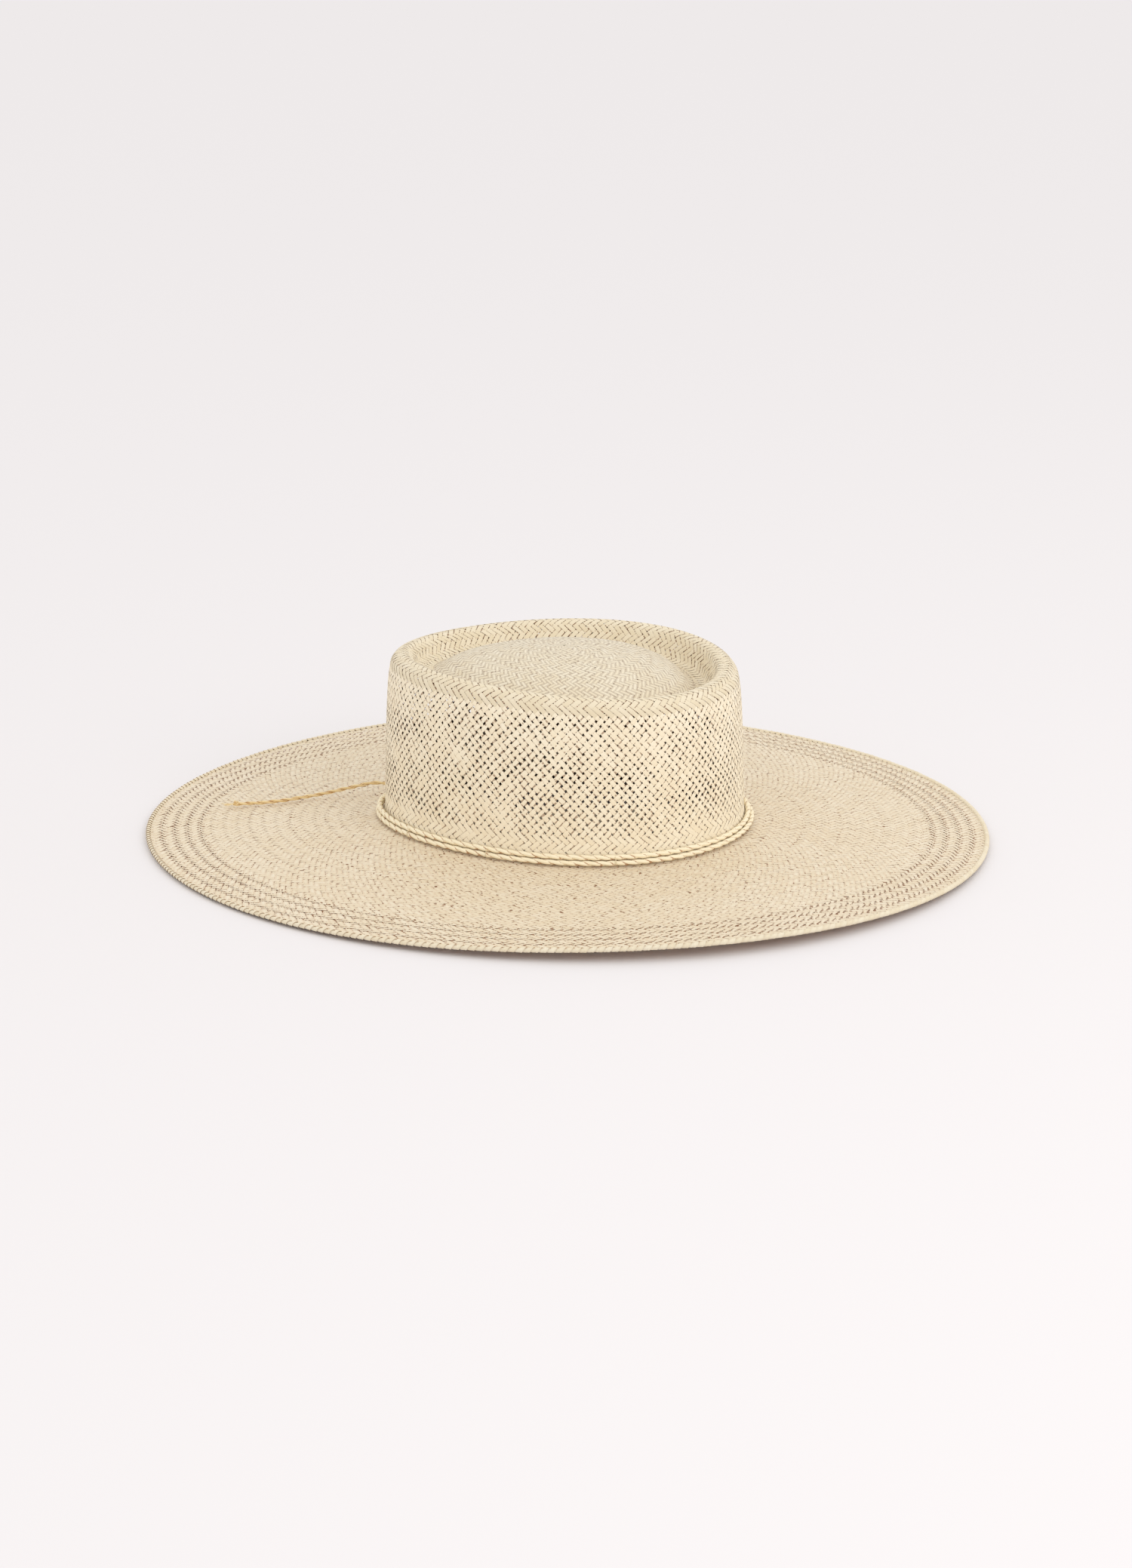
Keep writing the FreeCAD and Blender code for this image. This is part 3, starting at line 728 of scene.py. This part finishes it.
angles, bead, paths = walkSkin()
marks = landmarks(angles, paths)
edge = np.zeros((len(angles), 1))
print("skin walked: foot", marks[:, 0].mean(), "ridge", marks[:, 1].mean(), "channel", marks[:, 2].mean())
weaveSink = 0.0005    # the weave lies this far under the skin that was walked
brimBlock = ringBlock("brimBlock", *ringsBetween(paths, np.hstack([edge, marks[:, :1]]), 120), weaveSink)
crownStops = marks[:, :3] + np.array([0.0, 0.0, walkSettings["overlap"]])
crownBlock = ringBlock("crownBlock", *ringsBetween(paths, crownStops, 140), weaveSink)
domeBlock = ringBlock("domeBlock", *ringsBetween(paths, marks[:, 2:], 70), weaveSink)
print("blocks: brim", brimBlock["length"], "crown", crownBlock["length"], "dome", domeBlock["length"])


beadForm = {
    "radius": 0.00115,       # of the form that the edge is wrapped on
    "inset": 0.00135,        # its centre line lies this far inside the outermost edge
}


def beadBlock():
    # the rolled edge, unrolled: v runs once round its section from the brim outwards
    radius = beadForm["radius"]
    turns = np.linspace(math.pi, -math.pi, 25)
    rings = np.empty((len(turns), len(angles), 3))
    for column, (angle, (reach, height)) in enumerate(zip(angles, bead)):
        away = heading(angle)
        centre = crownMiddle + away * (reach - beadForm["inset"])
        for rank, turn in enumerate(turns):
            spot = centre + away * (radius * math.cos(turn))
            rings[rank, column] = (spot.x, spot.y, height + radius * math.sin(turn))
    return ringBlock("beadBlock", rings[::-1], 2.0 * math.pi * radius, 0.0)


weave = weaveTree()

crownWeave = {
    "strands": 126,
    "closedRows": 7,
    "openRows": 26,
    "rowHeight": 0.0020,
    "openRowHeight": 0.0027,
    "look": {"Wander": 0.2, "Fill": 0.98, "Open Fill": 0.83, "Ragged": 0.22, "Patchiness": 0.32,
             "Lift": 0.0001, "Thickness": 0.00016},
}


def weaveZone(name, block, values, replaced=()):
    mesh = grow(name, block["mesh"], weave, dict(values, **{"Block Length": block["length"]}))
    return place(name, mesh, "hat", replaced)


def weaveCrown():
    form = crownWeave
    openFrom = form["closedRows"]
    openTo = openFrom + form["openRows"]
    used = form["closedRows"] * form["rowHeight"] + form["openRows"] * form["openRowHeight"]
    upperRows = math.ceil((crownBlock["length"] - used) / form["rowHeight"])
    shared = dict(form["look"], **{
        "Strands": form["strands"], "Row Height": form["rowHeight"],
        "Open Row Height": form["openRowHeight"], "Open From": float(openFrom), "Open To": float(openTo)})
    lowerHalf = form["openRows"] // 2
    upperHalf = form["openRows"] - lowerHalf
    zones = (("crownFootWeave", 0, form["closedRows"], 2),
             ("crownWallWeave", openFrom, lowerHalf, 3),
             ("upperWallWeave", openFrom + lowerHalf, upperHalf, 3),
             ("crownRidgeWeave", openTo, upperRows, 2))
    paints = {"crownRidgeWeave": ridgePaint}
    nodesFor = {"crownWallWeave": ["crown_side"]}
    for name, first, rows, steps in zones:
        values = dict(shared, **{"First Row": float(first), "Rows": rows, "Steps": steps,
                                 "Material": paints.get(name, crownPaint)})
        weaveZone(name, crownBlock, values, nodesFor.get(name, ()))


brimWeave = {
    "name": "brimWeave",
    "node": "brim",
    "strandPitch": 0.0046,
    "rowHeight": 0.00178,
    "zones": 6,
    "firstSeed": 11,
    "look": {"Section Points": 4, "Fill": 1.0, "Lift": 0.00006, "Thickness": 0.0001, "Wander": 0.22,
             "Ragged": 0.12, "Ring Gap": 0.1, "Ring From": 3.0, "Ring To": 400.0, "Ring Period": 4.0,
             "Material": strawPaint},
    "firstZone": {"Ring Gap": 0.5, "Ring From": 4.2, "Ring To": 17.0},    # the open rings at the edge
}

domeWeave = {
    "name": "domeWeave",
    "node": "crown_tip",
    "strandPitch": 0.0036,
    "rowHeight": 0.0016,
    "zones": 5,
    "firstSeed": 31,
    "lastGirth": 0.045,      # the last zone goes on from here to the middle
    "look": {"Section Points": 4, "Fill": 0.97, "Wander": 0.35, "Ragged": 0.2, "Lift": 0.00003,
             "Thickness": 0.00006, "Material": domePaint},
    "firstZone": {},
}


def weaveInZones(form, block):
    # the inner zones have fewer strands, as a hat's do where strands are added
    girths = block["girths"]
    rows = int(round(block["length"] / form["rowHeight"]))
    levels = np.linspace(0.0, 1.0, len(girths))
    bounds = np.geomspace(girths[0], form.get("lastGirth", girths[-1]), form["zones"] + 1)
    stops = [int(round(rows * np.interp(-bound, -girths, levels))) for bound in bounds]
    stops[0], stops[-1] = 0, rows
    for zone in range(form["zones"]):
        middle = 0.5 * (bounds[zone] + bounds[zone + 1])
        values = dict(form["look"], **{
            "Strands": int(round(middle / form["strandPitch"])), "First Row": float(stops[zone]),
            "Rows": stops[zone + 1] - stops[zone], "Row Height": form["rowHeight"],
            "Seed": form["firstSeed"] + zone})
        replaced = []
        if zone == 0:
            values.update(form["firstZone"])
            replaced = [form["node"]]
        weaveZone(form["name"] + str(zone + 1), block, values, replaced)


def wrapEdge():
    block = beadBlock()
    values = {"Strands": 372, "Families": 1, "Rows": 1, "Steps": 14, "Row Height": block["length"],
              "Block Length": block["length"], "Slant": 1.3, "Fill": 1.25, "Lift": 0.0,
              "Thickness": 0.0004, "Shingle": 0.00026, "Wander": 0.06, "Seed": 51, "Material": edgePaint}
    mesh = grow("edgeWrap", block["mesh"], weave, values)
    place("edgeWrap", mesh, "hat", ["edge_braid"])


weaveCrown()
weaveInZones(brimWeave, brimBlock)
weaveInZones(domeWeave, domeBlock)
wrapEdge()
print("straw woven")


# Cord round the crown, its knots and its free end

cordForm = {
    "plies": 2,
    "plyRadius": 0.00116,
    "layRadius": 0.00034,
    "tailRadius": 0.0011,
    "tailPly": 0.00068,
    "tailLay": 0.00042,
    "pitch": 0.0135,
    "halfLength": 0.1012,
    "halfWidth": 0.0817,
    "egg": 0.07,
    "footHeight": 0.00675,
    "knotAngle": math.radians(246.0),
    "knotSpread": math.radians(7.0),
    "lowerLane": (0.00315, 0.00215),
    "upperLane": (0.00215, 0.0051),
    "beside": (86.0, 42.0),      # degrees: middle and half width of where the turns lie side by side
    "slack": (268.0, 30.0),      # and of where they stand off the wall, near the knot
    "besideOut": (0.0009, -0.0002),
    "besideUp": (0.0001, -0.0005),
    "slackOut": (0.0005, 0.0008),
    "footSway": (-0.0005, -0.0011),
}

# the free end's route, from the knot to its tip
tailRoute = [
    (-0.0372, -0.1031, 0.0108),
    (-0.0360, -0.1126, 0.0128),
    (-0.0308, -0.1220, 0.0120),
    (-0.0276, -0.1316, 0.0103),
    (-0.0224, -0.1428, 0.0087),
    (-0.0179, -0.1542, 0.0077),
    (-0.0120, -0.1648, 0.0072),
    (-0.0082, -0.1768, 0.0068),
    (-0.0057, -0.1882, 0.0067),
]


def twistTree():
    tree, given, out = newTree("twistedCord", "GeometryNodeTree", [
        ("Path", "Geometry", None),
        ("Plies", "Int", 2),
        ("Ply Radius", "Float", 0.0006),
        ("Lay Radius", "Float", 0.0005),
        ("Pitch", "Float", 0.009),
        ("Step", "Float", 0.0006),
        ("Underside", "Float", 0.0),
        ("Section Points", "Int", 8),
        ("Wander", "Float", 0.0001),
        ("Seed", "Int", 1),
        ("Material", "Material", None),
    ], [("Cord", "Geometry")])

    def c(operation, *values):
        return calc(tree, operation, *values)

    curve = addNode(tree, "GeometryNodeMeshToCurve", None, {"Mesh": given["Path"]}).outputs[0]
    even = addNode(tree, "GeometryNodeResampleCurve", {"mode": "LENGTH"},
                   {"Curve": curve, "Length": given["Step"]}).outputs[0]
    twin = addNode(tree, "GeometryNodeDuplicateElements", {"domain": "SPLINE"},
                   {"Geometry": even, "Amount": given["Plies"]})
    ply = twin.outputs["Duplicate Index"]
    run = tree.nodes.new("GeometryNodeSplineParameter").outputs["Length"]
    centre = tree.nodes.new("GeometryNodeInputPosition").outputs[0]
    marked = stored(tree, twin.outputs[0], "axisSpot", centre, "FLOAT_VECTOR")
    marked = stored(tree, marked, "alongCord", run)
    marked = stored(tree, marked, "tone", c("DIVIDE", ply, 3.0))
    turn = c("MULTIPLY", 2.0 * math.pi,
             c("ADD", c("DIVIDE", run, given["Pitch"]), c("DIVIDE", ply, given["Plies"])))
    spot = joined(tree, c("MULTIPLY", run, 160.0), c("MULTIPLY", ply, 7.3), given["Seed"])
    loose = addNode(tree, "ShaderNodeTexNoise", None, {"Vector": spot, "Scale": 1.0})
    lay = c("ADD", given["Lay Radius"],
            c("MULTIPLY", c("SUBTRACT", loose.outputs[0], 0.5), given["Wander"]))
    normal = tree.nodes.new("GeometryNodeInputNormal").outputs[0]
    tangent = tree.nodes.new("GeometryNodeInputTangent").outputs[0]
    beside = aim(tree, "CROSS_PRODUCT", tangent, normal)
    offset = aim(tree, "ADD", scaled(tree, normal, c("MULTIPLY", c("COSINE", turn), lay)),
                 scaled(tree, beside, c("MULTIPLY", c("SINE", turn), lay)))
    twisted = addNode(tree, "GeometryNodeSetPosition", None, {"Geometry": marked, "Offset": offset})
    circle = addNode(tree, "GeometryNodeCurvePrimitiveCircle", None,
                     {"Resolution": given["Section Points"], "Radius": given["Ply Radius"]})
    ring = stored(tree, circle.outputs[0], "aroundPly",
                  tree.nodes.new("GeometryNodeSplineParameter").outputs["Factor"])
    tube = addNode(tree, "GeometryNodeCurveToMesh", None,
                   {"Curve": twisted.outputs[0], "Profile Curve": ring, "Fill Caps": True}).outputs[0]
    surface = tree.nodes.new("GeometryNodeInputPosition").outputs[0]
    outward = aim(tree, "SUBTRACT", surface, namedValue(tree, "axisSpot", "FLOAT_VECTOR"))
    away = aim(tree, "LENGTH", outward)
    facing = addNode(tree, "ShaderNodeSeparateXYZ", None,
                     {"Vector": aim(tree, "NORMALIZE", outward)}).outputs[2]
    # painted shade: plies darken towards the cord's middle, where they press together, and its underside
    # darkens as a whole, standing in for the shade in the lay and under the cord
    below = c("MULTIPLY", c("MAXIMUM", c("SUBTRACT", c("MULTIPLY", facing, -1.0), 0.4), 0.0), 1.6)
    rim = c("ADD", given["Ply Radius"], given["Lay Radius"])
    over = c("POWER", c("MINIMUM", c("DIVIDE", away, rim), 1.0), 3.0)
    over = c("SUBTRACT", over, c("MULTIPLY", below, given["Underside"]))
    tube = stored(tree, tube, "over", over)
    folded = c("ABSOLUTE", c("SUBTRACT", c("MULTIPLY", namedValue(tree, "aroundPly"), 2.0), 1.0))
    fibre = joined(tree, folded, c("MULTIPLY", namedValue(tree, "alongCord"), 10.0))
    tube = stored(tree, tube, "UVMap", fibre, "FLOAT2", "CORNER")
    smooth = addNode(tree, "GeometryNodeSetShadeSmooth", None, {"Geometry": tube}).outputs[0]
    whole = addNode(tree, "GeometryNodeRealizeInstances", None, {"Geometry": smooth}).outputs[0]
    painted = addNode(tree, "GeometryNodeSetMaterial", None,
                      {"Geometry": whole, "Material": given["Material"]})
    tree.links.new(painted.outputs[0], out["Cord"])
    return tree


def lineMesh(name, *lines):
    points = []
    edges = []
    for line in lines:
        first = len(points)
        points += [tuple(point) for point in line]
        edges += [(index, index + 1) for index in range(first, len(points) - 1)]
    mesh = bpy.data.meshes.new(name)
    mesh.from_pydata(points, edges, [])
    return mesh


def cordAlong(name, lines, values, body, replaced=()):
    mesh = grow(name, lineMesh(name + "Line", *lines), twist, values)
    return place(name, mesh, body, replaced)


def window(angle, middle, halfWidth):
    away = abs((math.degrees(angle) - middle + 180.0) % 360.0 - 180.0) / halfWidth
    return 0.5 * (1.0 + math.cos(math.pi * away)) if away < 1.0 else 0.0


def lanePoint(angle, share):
    # a point of the cord's middle: share 0 is the lower turn and 1 is the upper
    form = cordForm
    beside = window(angle, *form["beside"])
    slack = window(angle, *form["slack"])
    outs = []
    ups = []
    for turn, lane in enumerate((form["lowerLane"], form["upperLane"])):
        outs.append(lane[0] + form["besideOut"][turn] * beside + form["slackOut"][turn] * slack)
        ups.append(lane[1] + form["besideUp"][turn] * beside)
    out = outs[0] + (outs[1] - outs[0]) * share
    up = ups[0] + (ups[1] - ups[0]) * share
    x = crownMiddle.x + (form["halfWidth"] + out) * math.cos(angle) * (1.0 + form["egg"] * math.sin(angle))
    y = crownMiddle.y + (form["halfLength"] + out) * math.sin(angle)
    even, skew = form["footSway"]
    foot = form["footHeight"] + even * math.cos(2.0 * angle) + skew * math.sin(2.0 * angle)
    return Vector((x, y, foot + up))


def bandLine():
    form = cordForm
    first = form["knotAngle"] + form["knotSpread"]
    last = form["knotAngle"] - form["knotSpread"] + 4.0 * math.pi
    points = []
    for turn in np.linspace(first, last, 720):
        change = (turn - form["knotAngle"] - 2.0 * math.pi) / (1.2 * form["knotSpread"])
        change = min(max(change, -1.0), 1.0)
        points.append(lanePoint(turn, 0.5 + 0.75 * change - 0.25 * change ** 3))
    return points


def overhandLine(low, high, turn):
    # an overhand knot's path, fitted in a box and turned about the upright
    steps = np.linspace(0.0, 2.0 * math.pi, 90)
    shape = np.stack([np.sin(steps) + 2.0 * np.sin(2.0 * steps),
                      np.cos(steps) - 2.0 * np.cos(2.0 * steps), -np.sin(3.0 * steps)], axis=1)
    shape /= np.abs(shape).max(axis=0)
    middle = (low + high) / 2
    half = (high - low) / 2
    points = []
    for point in shape:
        local = Vector((point[0] * half.x, point[1] * half.y, point[2] * half.z))
        local.rotate(Quaternion((0.0, 0.0, 1.0), turn))
        points.append(middle + local)
    return points


def splinePoints(route):
    data = bpy.data.curves.new("tailCurve", "CURVE")
    data.dimensions = "3D"
    spline = data.splines.new("NURBS")
    spline.points.add(len(route) - 1)
    for point, spot in zip(spline.points, route):
        point.co = (*spot, 1.0)
    spline.order_u = 3
    spline.use_endpoint_u = True
    spline.resolution_u = 24
    carrier = bpy.data.objects.new("tailCurve", data)
    mesh = bpy.data.meshes.new_from_object(carrier)
    points = [vertex.co.copy() for vertex in mesh.vertices]
    bpy.data.objects.remove(carrier)
    return points


frayForm = {
    "fibres": 9,
    "spread": 0.55,
    "shortest": 0.0045,
    "longest": 0.008,
    "droop": 0.0009,
    "radius": 0.00013,
}


def makeFray(start, way, values):
    # the straw's fibres that stand out of the end knot
    form = frayForm
    across = Vector((-way.y, way.x, 0.0))
    draw = np.random.default_rng(17)
    lines = []
    for _ in range(form["fibres"]):
        spread = draw.uniform(-form["spread"], form["spread"])
        length = draw.uniform(form["shortest"], form["longest"])
        lines.append([start + (way + across * spread * step) * length * step
                      + Vector((0.0, 0.0, -form["droop"] * step)) for step in np.linspace(0.0, 1.0, 7)])
    thin = dict(values, **{"Plies": 1, "Ply Radius": form["radius"], "Lay Radius": 0.0, "Wander": 0.0,
                           "Section Points": 5, "Material": tailPaint})
    return cordAlong("tailFray", lines, thin, "tail")


def boxMiddle(node):
    low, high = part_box(node)
    return (low + high) / 2


def makeBandKnot(values):
    middle = boxMiddle("cord_knot")
    angle = cordForm["knotAngle"]
    ahead = lanePoint(angle + 0.02, 0.5) - lanePoint(angle - 0.02, 0.5)
    reach = Vector((0.0044, 0.0021, 0.0026))
    line = overhandLine(middle - reach, middle + reach, math.atan2(ahead.y, ahead.x))
    knotValues = dict(values, **{"Lay Radius": 0.00045, "Ply Radius": 0.00075, "Pitch": 0.007, "Seed": 5})
    cordAlong("bandKnot", [line], knotValues, "hat", ["cord_knot"])


def makeEndKnot(middle, way, values):
    reach = Vector((0.0012, 0.0011, 0.0009))
    line = overhandLine(middle - reach, middle + reach, math.atan2(way.y, way.x))
    endValues = dict(values, **{"Lay Radius": 0.0002, "Ply Radius": 0.00042, "Pitch": 0.004,
                                "Step": 0.0003, "Material": tailPaint})
    return cordAlong("tailEndKnot", [line], endValues, "tail", ["tail_end_knot"])


def makeTail(values):
    form = cordForm
    middle = boxMiddle("tail_end_knot")
    way = Vector(tailRoute[-1]) - Vector(tailRoute[-2])
    endKnot = makeEndKnot(middle, way, values)
    points = splinePoints(tailRoute)
    tailValues = dict(values, **{"Ply Radius": form["tailPly"], "Lay Radius": form["tailLay"],
                                 "Material": tailPaint, "Seed": 9})
    tail = cordAlong("looseTail", [points], tailValues, "tail", ["cord_tail"])
    fray = makeFray(middle, way.normalized(), values)


def makeCords():
    form = cordForm
    values = {"Plies": form["plies"], "Ply Radius": form["plyRadius"], "Lay Radius": form["layRadius"],
              "Pitch": form["pitch"], "Material": cordPaint}
    # the band's underside takes painted shade
    cordAlong("twistedBand", [bandLine()], dict(values, Seed=3, Underside=0.8), "hat", ["cord_band"])
    makeBandKnot(values)
    makeTail(values)


twist = twistTree()
makeCords()
print("cords laid")


# Band, tape and label inside, the stitches, and the wire in the edge

innerForm = {
    "ribs": 560,
    "ribDepth": 0.00009,
    "hem": 0.0022,
    "hemRise": 0.0002,
    "bandThinner": 0.0001,   # the ribs' mean lies this far inside the band's faces
    "threads": 2400.0,       # threads to a metre of cloth
    "weaveHeight": 0.00003,
    "tapeWaves": 9000.0,     # radians of its weave to a metre
    "tapeEdge": 0.03,        # share of the tape that is pressed thin at its top and foot
    "tapeThin": 0.00005,
    "labelHem": 0.0012,
    "labelThin": 0.00004,
}


def spanOf(tree, angle, height):
    # distances from the crown's middle to a thin ring's inner and outer face
    away = heading(angle)
    farOff = walkSettings["farOff"]
    middle = crownMiddle + Vector((0.0, 0.0, height))
    inside = tree.ray_cast(middle, away, farOff)[0]
    outside = tree.ray_cast(middle + away * farOff, -away, farOff)[0]
    if inside is None or outside is None:
        return None
    return (inside - middle).length, (outside - middle).length


def clothWall(name, node, turns, levels, body, paint, bulge):
    # an upright piece of cloth with two faces, closed at its edges, or all round
    tree = skinTree(node)
    low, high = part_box(node)
    centreHeight = (low.z + high.z) / 2
    spans = [spanOf(tree, turn, centreHeight) for turn in turns]
    whole = turns[-1] - turns[0] > 6.0
    count = len(turns)
    points = []
    for face in (0, 1):
        for level in levels:
            height = low.z + (high.z - low.z) * level
            for turn, span in zip(turns, spans):
                lift = bulge(turn, level, height - low.z, high.z - low.z)
                reach = span[face] + (lift if face else -lift)
                spot = crownMiddle + heading(turn) * reach
                points.append((spot.x, spot.y, height))
    layer = count * len(levels)
    faces = []
    columns = count if whole else count - 1
    for rank in range(len(levels) - 1):
        for column in range(columns):
            after = (column + 1) % count
            a, b = rank * count + column, rank * count + after
            d, c = a + count, b + count
            faces.append((b, a, d, c))
            faces.append((layer + a, layer + b, layer + c, layer + d))
    last = (len(levels) - 1) * count
    for column in range(columns):
        after = (column + 1) % count
        faces.append((column, after, layer + after, layer + column))
        faces.append((last + after, last + column, layer + last + column, layer + last + after))
    if not whole:
        for rank in range(len(levels) - 1):
            a, d = rank * count, (rank + 1) * count
            faces.append((a, layer + a, layer + d, d))
            b, c = a + count - 1, d + count - 1
            faces.append((layer + b, b, c, layer + c))
    mesh = bpy.data.meshes.new(name)
    mesh.from_pydata(points, [], faces)
    radius = spans[0][0]
    layerMap = mesh.uv_layers.new(name="UVMap")
    for polygon in mesh.polygons:
        for loop in polygon.loop_indices:
            index = mesh.loops[loop].vertex_index % layer
            around = turns[index % count] * radius
            rise = levels[index // count] * (high.z - low.z)
            layerMap.data[loop].uv = (around * innerForm["threads"], rise * innerForm["threads"])
    mesh.materials.append(paint)
    for polygon in mesh.polygons:
        polygon.use_smooth = True
    facesOut(mesh)
    return place(name, mesh, body, [node])


def reachOf(node):
    # the turns between which a patch at the back stands
    low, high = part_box(node)
    reach = low.y - crownMiddle.y
    return math.atan2(reach, high.x - crownMiddle.x), math.atan2(reach, low.x - crownMiddle.x)


def makeBand():
    form = innerForm
    low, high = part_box("sweatband")
    turns = np.linspace(0.0, 2.0 * math.pi, form["ribs"] * 4, endpoint=False)
    edges = np.array([0.0, 0.02, 0.05, 0.08, 0.11])
    levels = np.concatenate([edges, np.linspace(0.2, 0.8, 5), 1.0 - edges[::-1]])

    def ribs(turn, level, rise, full):
        hem = max(0.0, 1.0 - abs(rise - 0.5 * form["hem"]) / (0.5 * form["hem"]))
        wave = form["ribDepth"] * math.sin(turn * form["ribs"])
        return wave - form["bandThinner"] + form["hemRise"] * hem

    band = clothWall("ribbedSweatband", "sweatband", turns, levels, "hat",
                     bandPaint, ribs)
    tree = skinTree("sweatband")
    ends = [spanOf(tree, turn, (low.z + high.z) / 2)[0] for turn in turns]


def makePatch(name, node, body, paint, sway):
    first, last = reachOf(node)
    inset = 0.02 * (last - first)
    turns = np.linspace(first + inset, last - inset, 41)
    levels = np.linspace(0.0, 1.0, 25)
    patch = clothWall(name, node, turns, levels, body, paint, sway)


def tapeWeave(turn, level, rise, full):
    form = innerForm
    edge = min(level, 1.0 - level)
    pressed = form["tapeThin"] if edge < form["tapeEdge"] else 0.0
    return form["weaveHeight"] * math.sin(rise * form["tapeWaves"]) - pressed


def labelFold(turn, level, rise, full):
    # a folded hem along the label's top and foot
    form = innerForm
    edge = min(rise, full - rise)
    return form["weaveHeight"] if edge < form["labelHem"] else -form["labelThin"]


def islandsOf(node):
    # the separate solids of a node, as arrays of their points
    mesh = nodes[node].data
    keys = {}
    parent = []

    def root(index):
        while parent[index] != index:
            index = parent[index]
        return index

    def pointId(index):
        spot = mesh.vertices[index].co
        key = tuple(round(value, 7) for value in spot)
        if key not in keys:
            keys[key] = len(parent)
            parent.append(len(parent))
        return keys[key]

    for face in mesh.polygons:
        ids = [root(pointId(index)) for index in face.vertices]
        for other in ids[1:]:
            parent[root(other)] = root(ids[0])
    groups = {}
    for key, index in keys.items():
        groups.setdefault(root(index), []).append(key)
    return [np.array(group) for group in groups.values()]


def stitchLine(island, dip):
    # a stitch's path: from one hole, along the cloth, and into the next
    centre = island.mean(axis=0)
    _, _, ways = np.linalg.svd(island - centre)
    way = Vector(ways[0])
    spread = (island - centre) @ ways[0]
    half = 0.5 * (spread.max() - spread.min())
    middle = Vector(centre)
    away = Vector((middle.x - crownMiddle.x, middle.y - crownMiddle.y, 0.0)).normalized()
    line = []
    for share in np.linspace(-1.0, 1.0, 11):
        sunk = dip * abs(share) ** 4
        line.append(middle + way * (half * share * 0.98) + away * sunk)
    return line


def makeStitches(name, node, dip, radius):
    lines = [stitchLine(island, dip) for island in islandsOf(node)]
    values = {"Plies": 2, "Ply Radius": radius * 0.6, "Lay Radius": radius * 0.42, "Pitch": 0.0016,
              "Step": 0.00025, "Section Points": 6, "Wander": 0.00003, "Seed": 21,
              "Material": threadPaint}
    cordAlong(name, lines, values, "hat", [node])
    print(name, len(lines), "stitches")


def makeInside():
    makeBand()
    makePatch("joinTape", "sweatband_join_tab", "hat", tapePaint,
              tapeWeave)
    makePatch("blankLabel", "size_label", "label", labelPaint,
              labelFold)
    makeStitches("bandStitches", "sweatband_stitches", 0.0004, 0.00025)
    makeStitches("labelStitches", "label_stitches", 0.0003, 0.00025)
    makeStitches("cordTacks", "cord_tacks", -0.0012, 0.00028)
    for name in ("edge_wire", "edge_wire_joiner"):
        for slot in nodes[name].material_slots:
            slot.material = steelPaint


makeInside()
print("inside made")


# Camera, light and floor

cameraForm = {
    "turn": math.radians(-5.7),      # from square to the hat's front
    "fall": math.radians(17.7),      # below the level
    "aside": 0.001,
    "targetHeight": 0.02545,
    "distance": 1.816,
    "sensor": 36.0,
    "lens": 74.37,
}


def makeCamera():
    form = cameraForm
    turn, fall = form["turn"], form["fall"]
    right = Vector((math.sin(turn), math.cos(turn), 0.0))
    target = crownMiddle + right * form["aside"] + Vector((0.0, 0.0, form["targetHeight"]))
    view = Vector((-math.cos(turn) * math.cos(fall), math.sin(turn) * math.cos(fall), -math.sin(fall)))
    data = bpy.data.cameras.new("camera")
    data.sensor_width = form["sensor"]
    data.lens = form["lens"]
    data.clip_end = 60.0
    camera = bpy.data.objects.new("camera", data)
    camera.location = target - view * form["distance"]
    camera.rotation_euler = view.to_track_quat("-Z", "Y").to_euler()
    scene.collection.objects.link(camera)
    scene.camera = camera


studioForm = {
    "floorReach": 30.0,
    "floorColour": (0.83, 0.805, 0.81, 1.0),
    "skyColour": (1.0, 0.99, 0.985, 1.0),
    "skyStrength": 1.03,
    "keySpot": (1.1, 1.3, 1.2),
    "keyTarget": (0.0, 0.0, 0.03),
    "keySize": 1.2,
    "keyPower": 7.0,
    "keyColour": (1.0, 0.985, 0.97),
}


def softBox(name, spot, target, size, power, colour):
    data = bpy.data.lights.new(name, "AREA")
    data.shape = "DISK"
    data.size = size
    data.energy = power
    data.color = colour
    lamp = bpy.data.objects.new(name, data)
    lamp.location = spot
    lamp.rotation_euler = (Vector(target) - Vector(spot)).to_track_quat("-Z", "Y").to_euler()
    scene.collection.objects.link(lamp)


def makeFloor():
    form = studioForm
    mesh = bpy.data.meshes.new("floor")
    size = form["floorReach"]
    mesh.from_pydata([(-size, -size, 0), (size, -size, 0), (size, size, 0), (-size, size, 0)],
                     [], [(0, 1, 2, 3)])
    floor = bpy.data.objects.new("floor", mesh)
    scene.collection.objects.link(floor)
    material, _, shader = newMaterial("paleFloor")
    shader.inputs["Base Color"].default_value = form["floorColour"]
    shader.inputs["Roughness"].default_value = 0.9
    shader.inputs["Specular IOR Level"].default_value = 0.0
    mesh.materials.append(material)


def makeStudio():
    form = studioForm
    makeFloor()
    world = bpy.data.worlds.new("studio")
    scene.world = world
    world.use_nodes = True
    sky = world.node_tree.nodes["Background"]
    sky.inputs["Color"].default_value = form["skyColour"]
    sky.inputs["Strength"].default_value = form["skyStrength"]
    softBox("keyLight", form["keySpot"], form["keyTarget"], form["keySize"], form["keyPower"],
            form["keyColour"])
    scene.view_settings.view_transform = "Standard"


makeCamera()
makeStudio()

print("done")
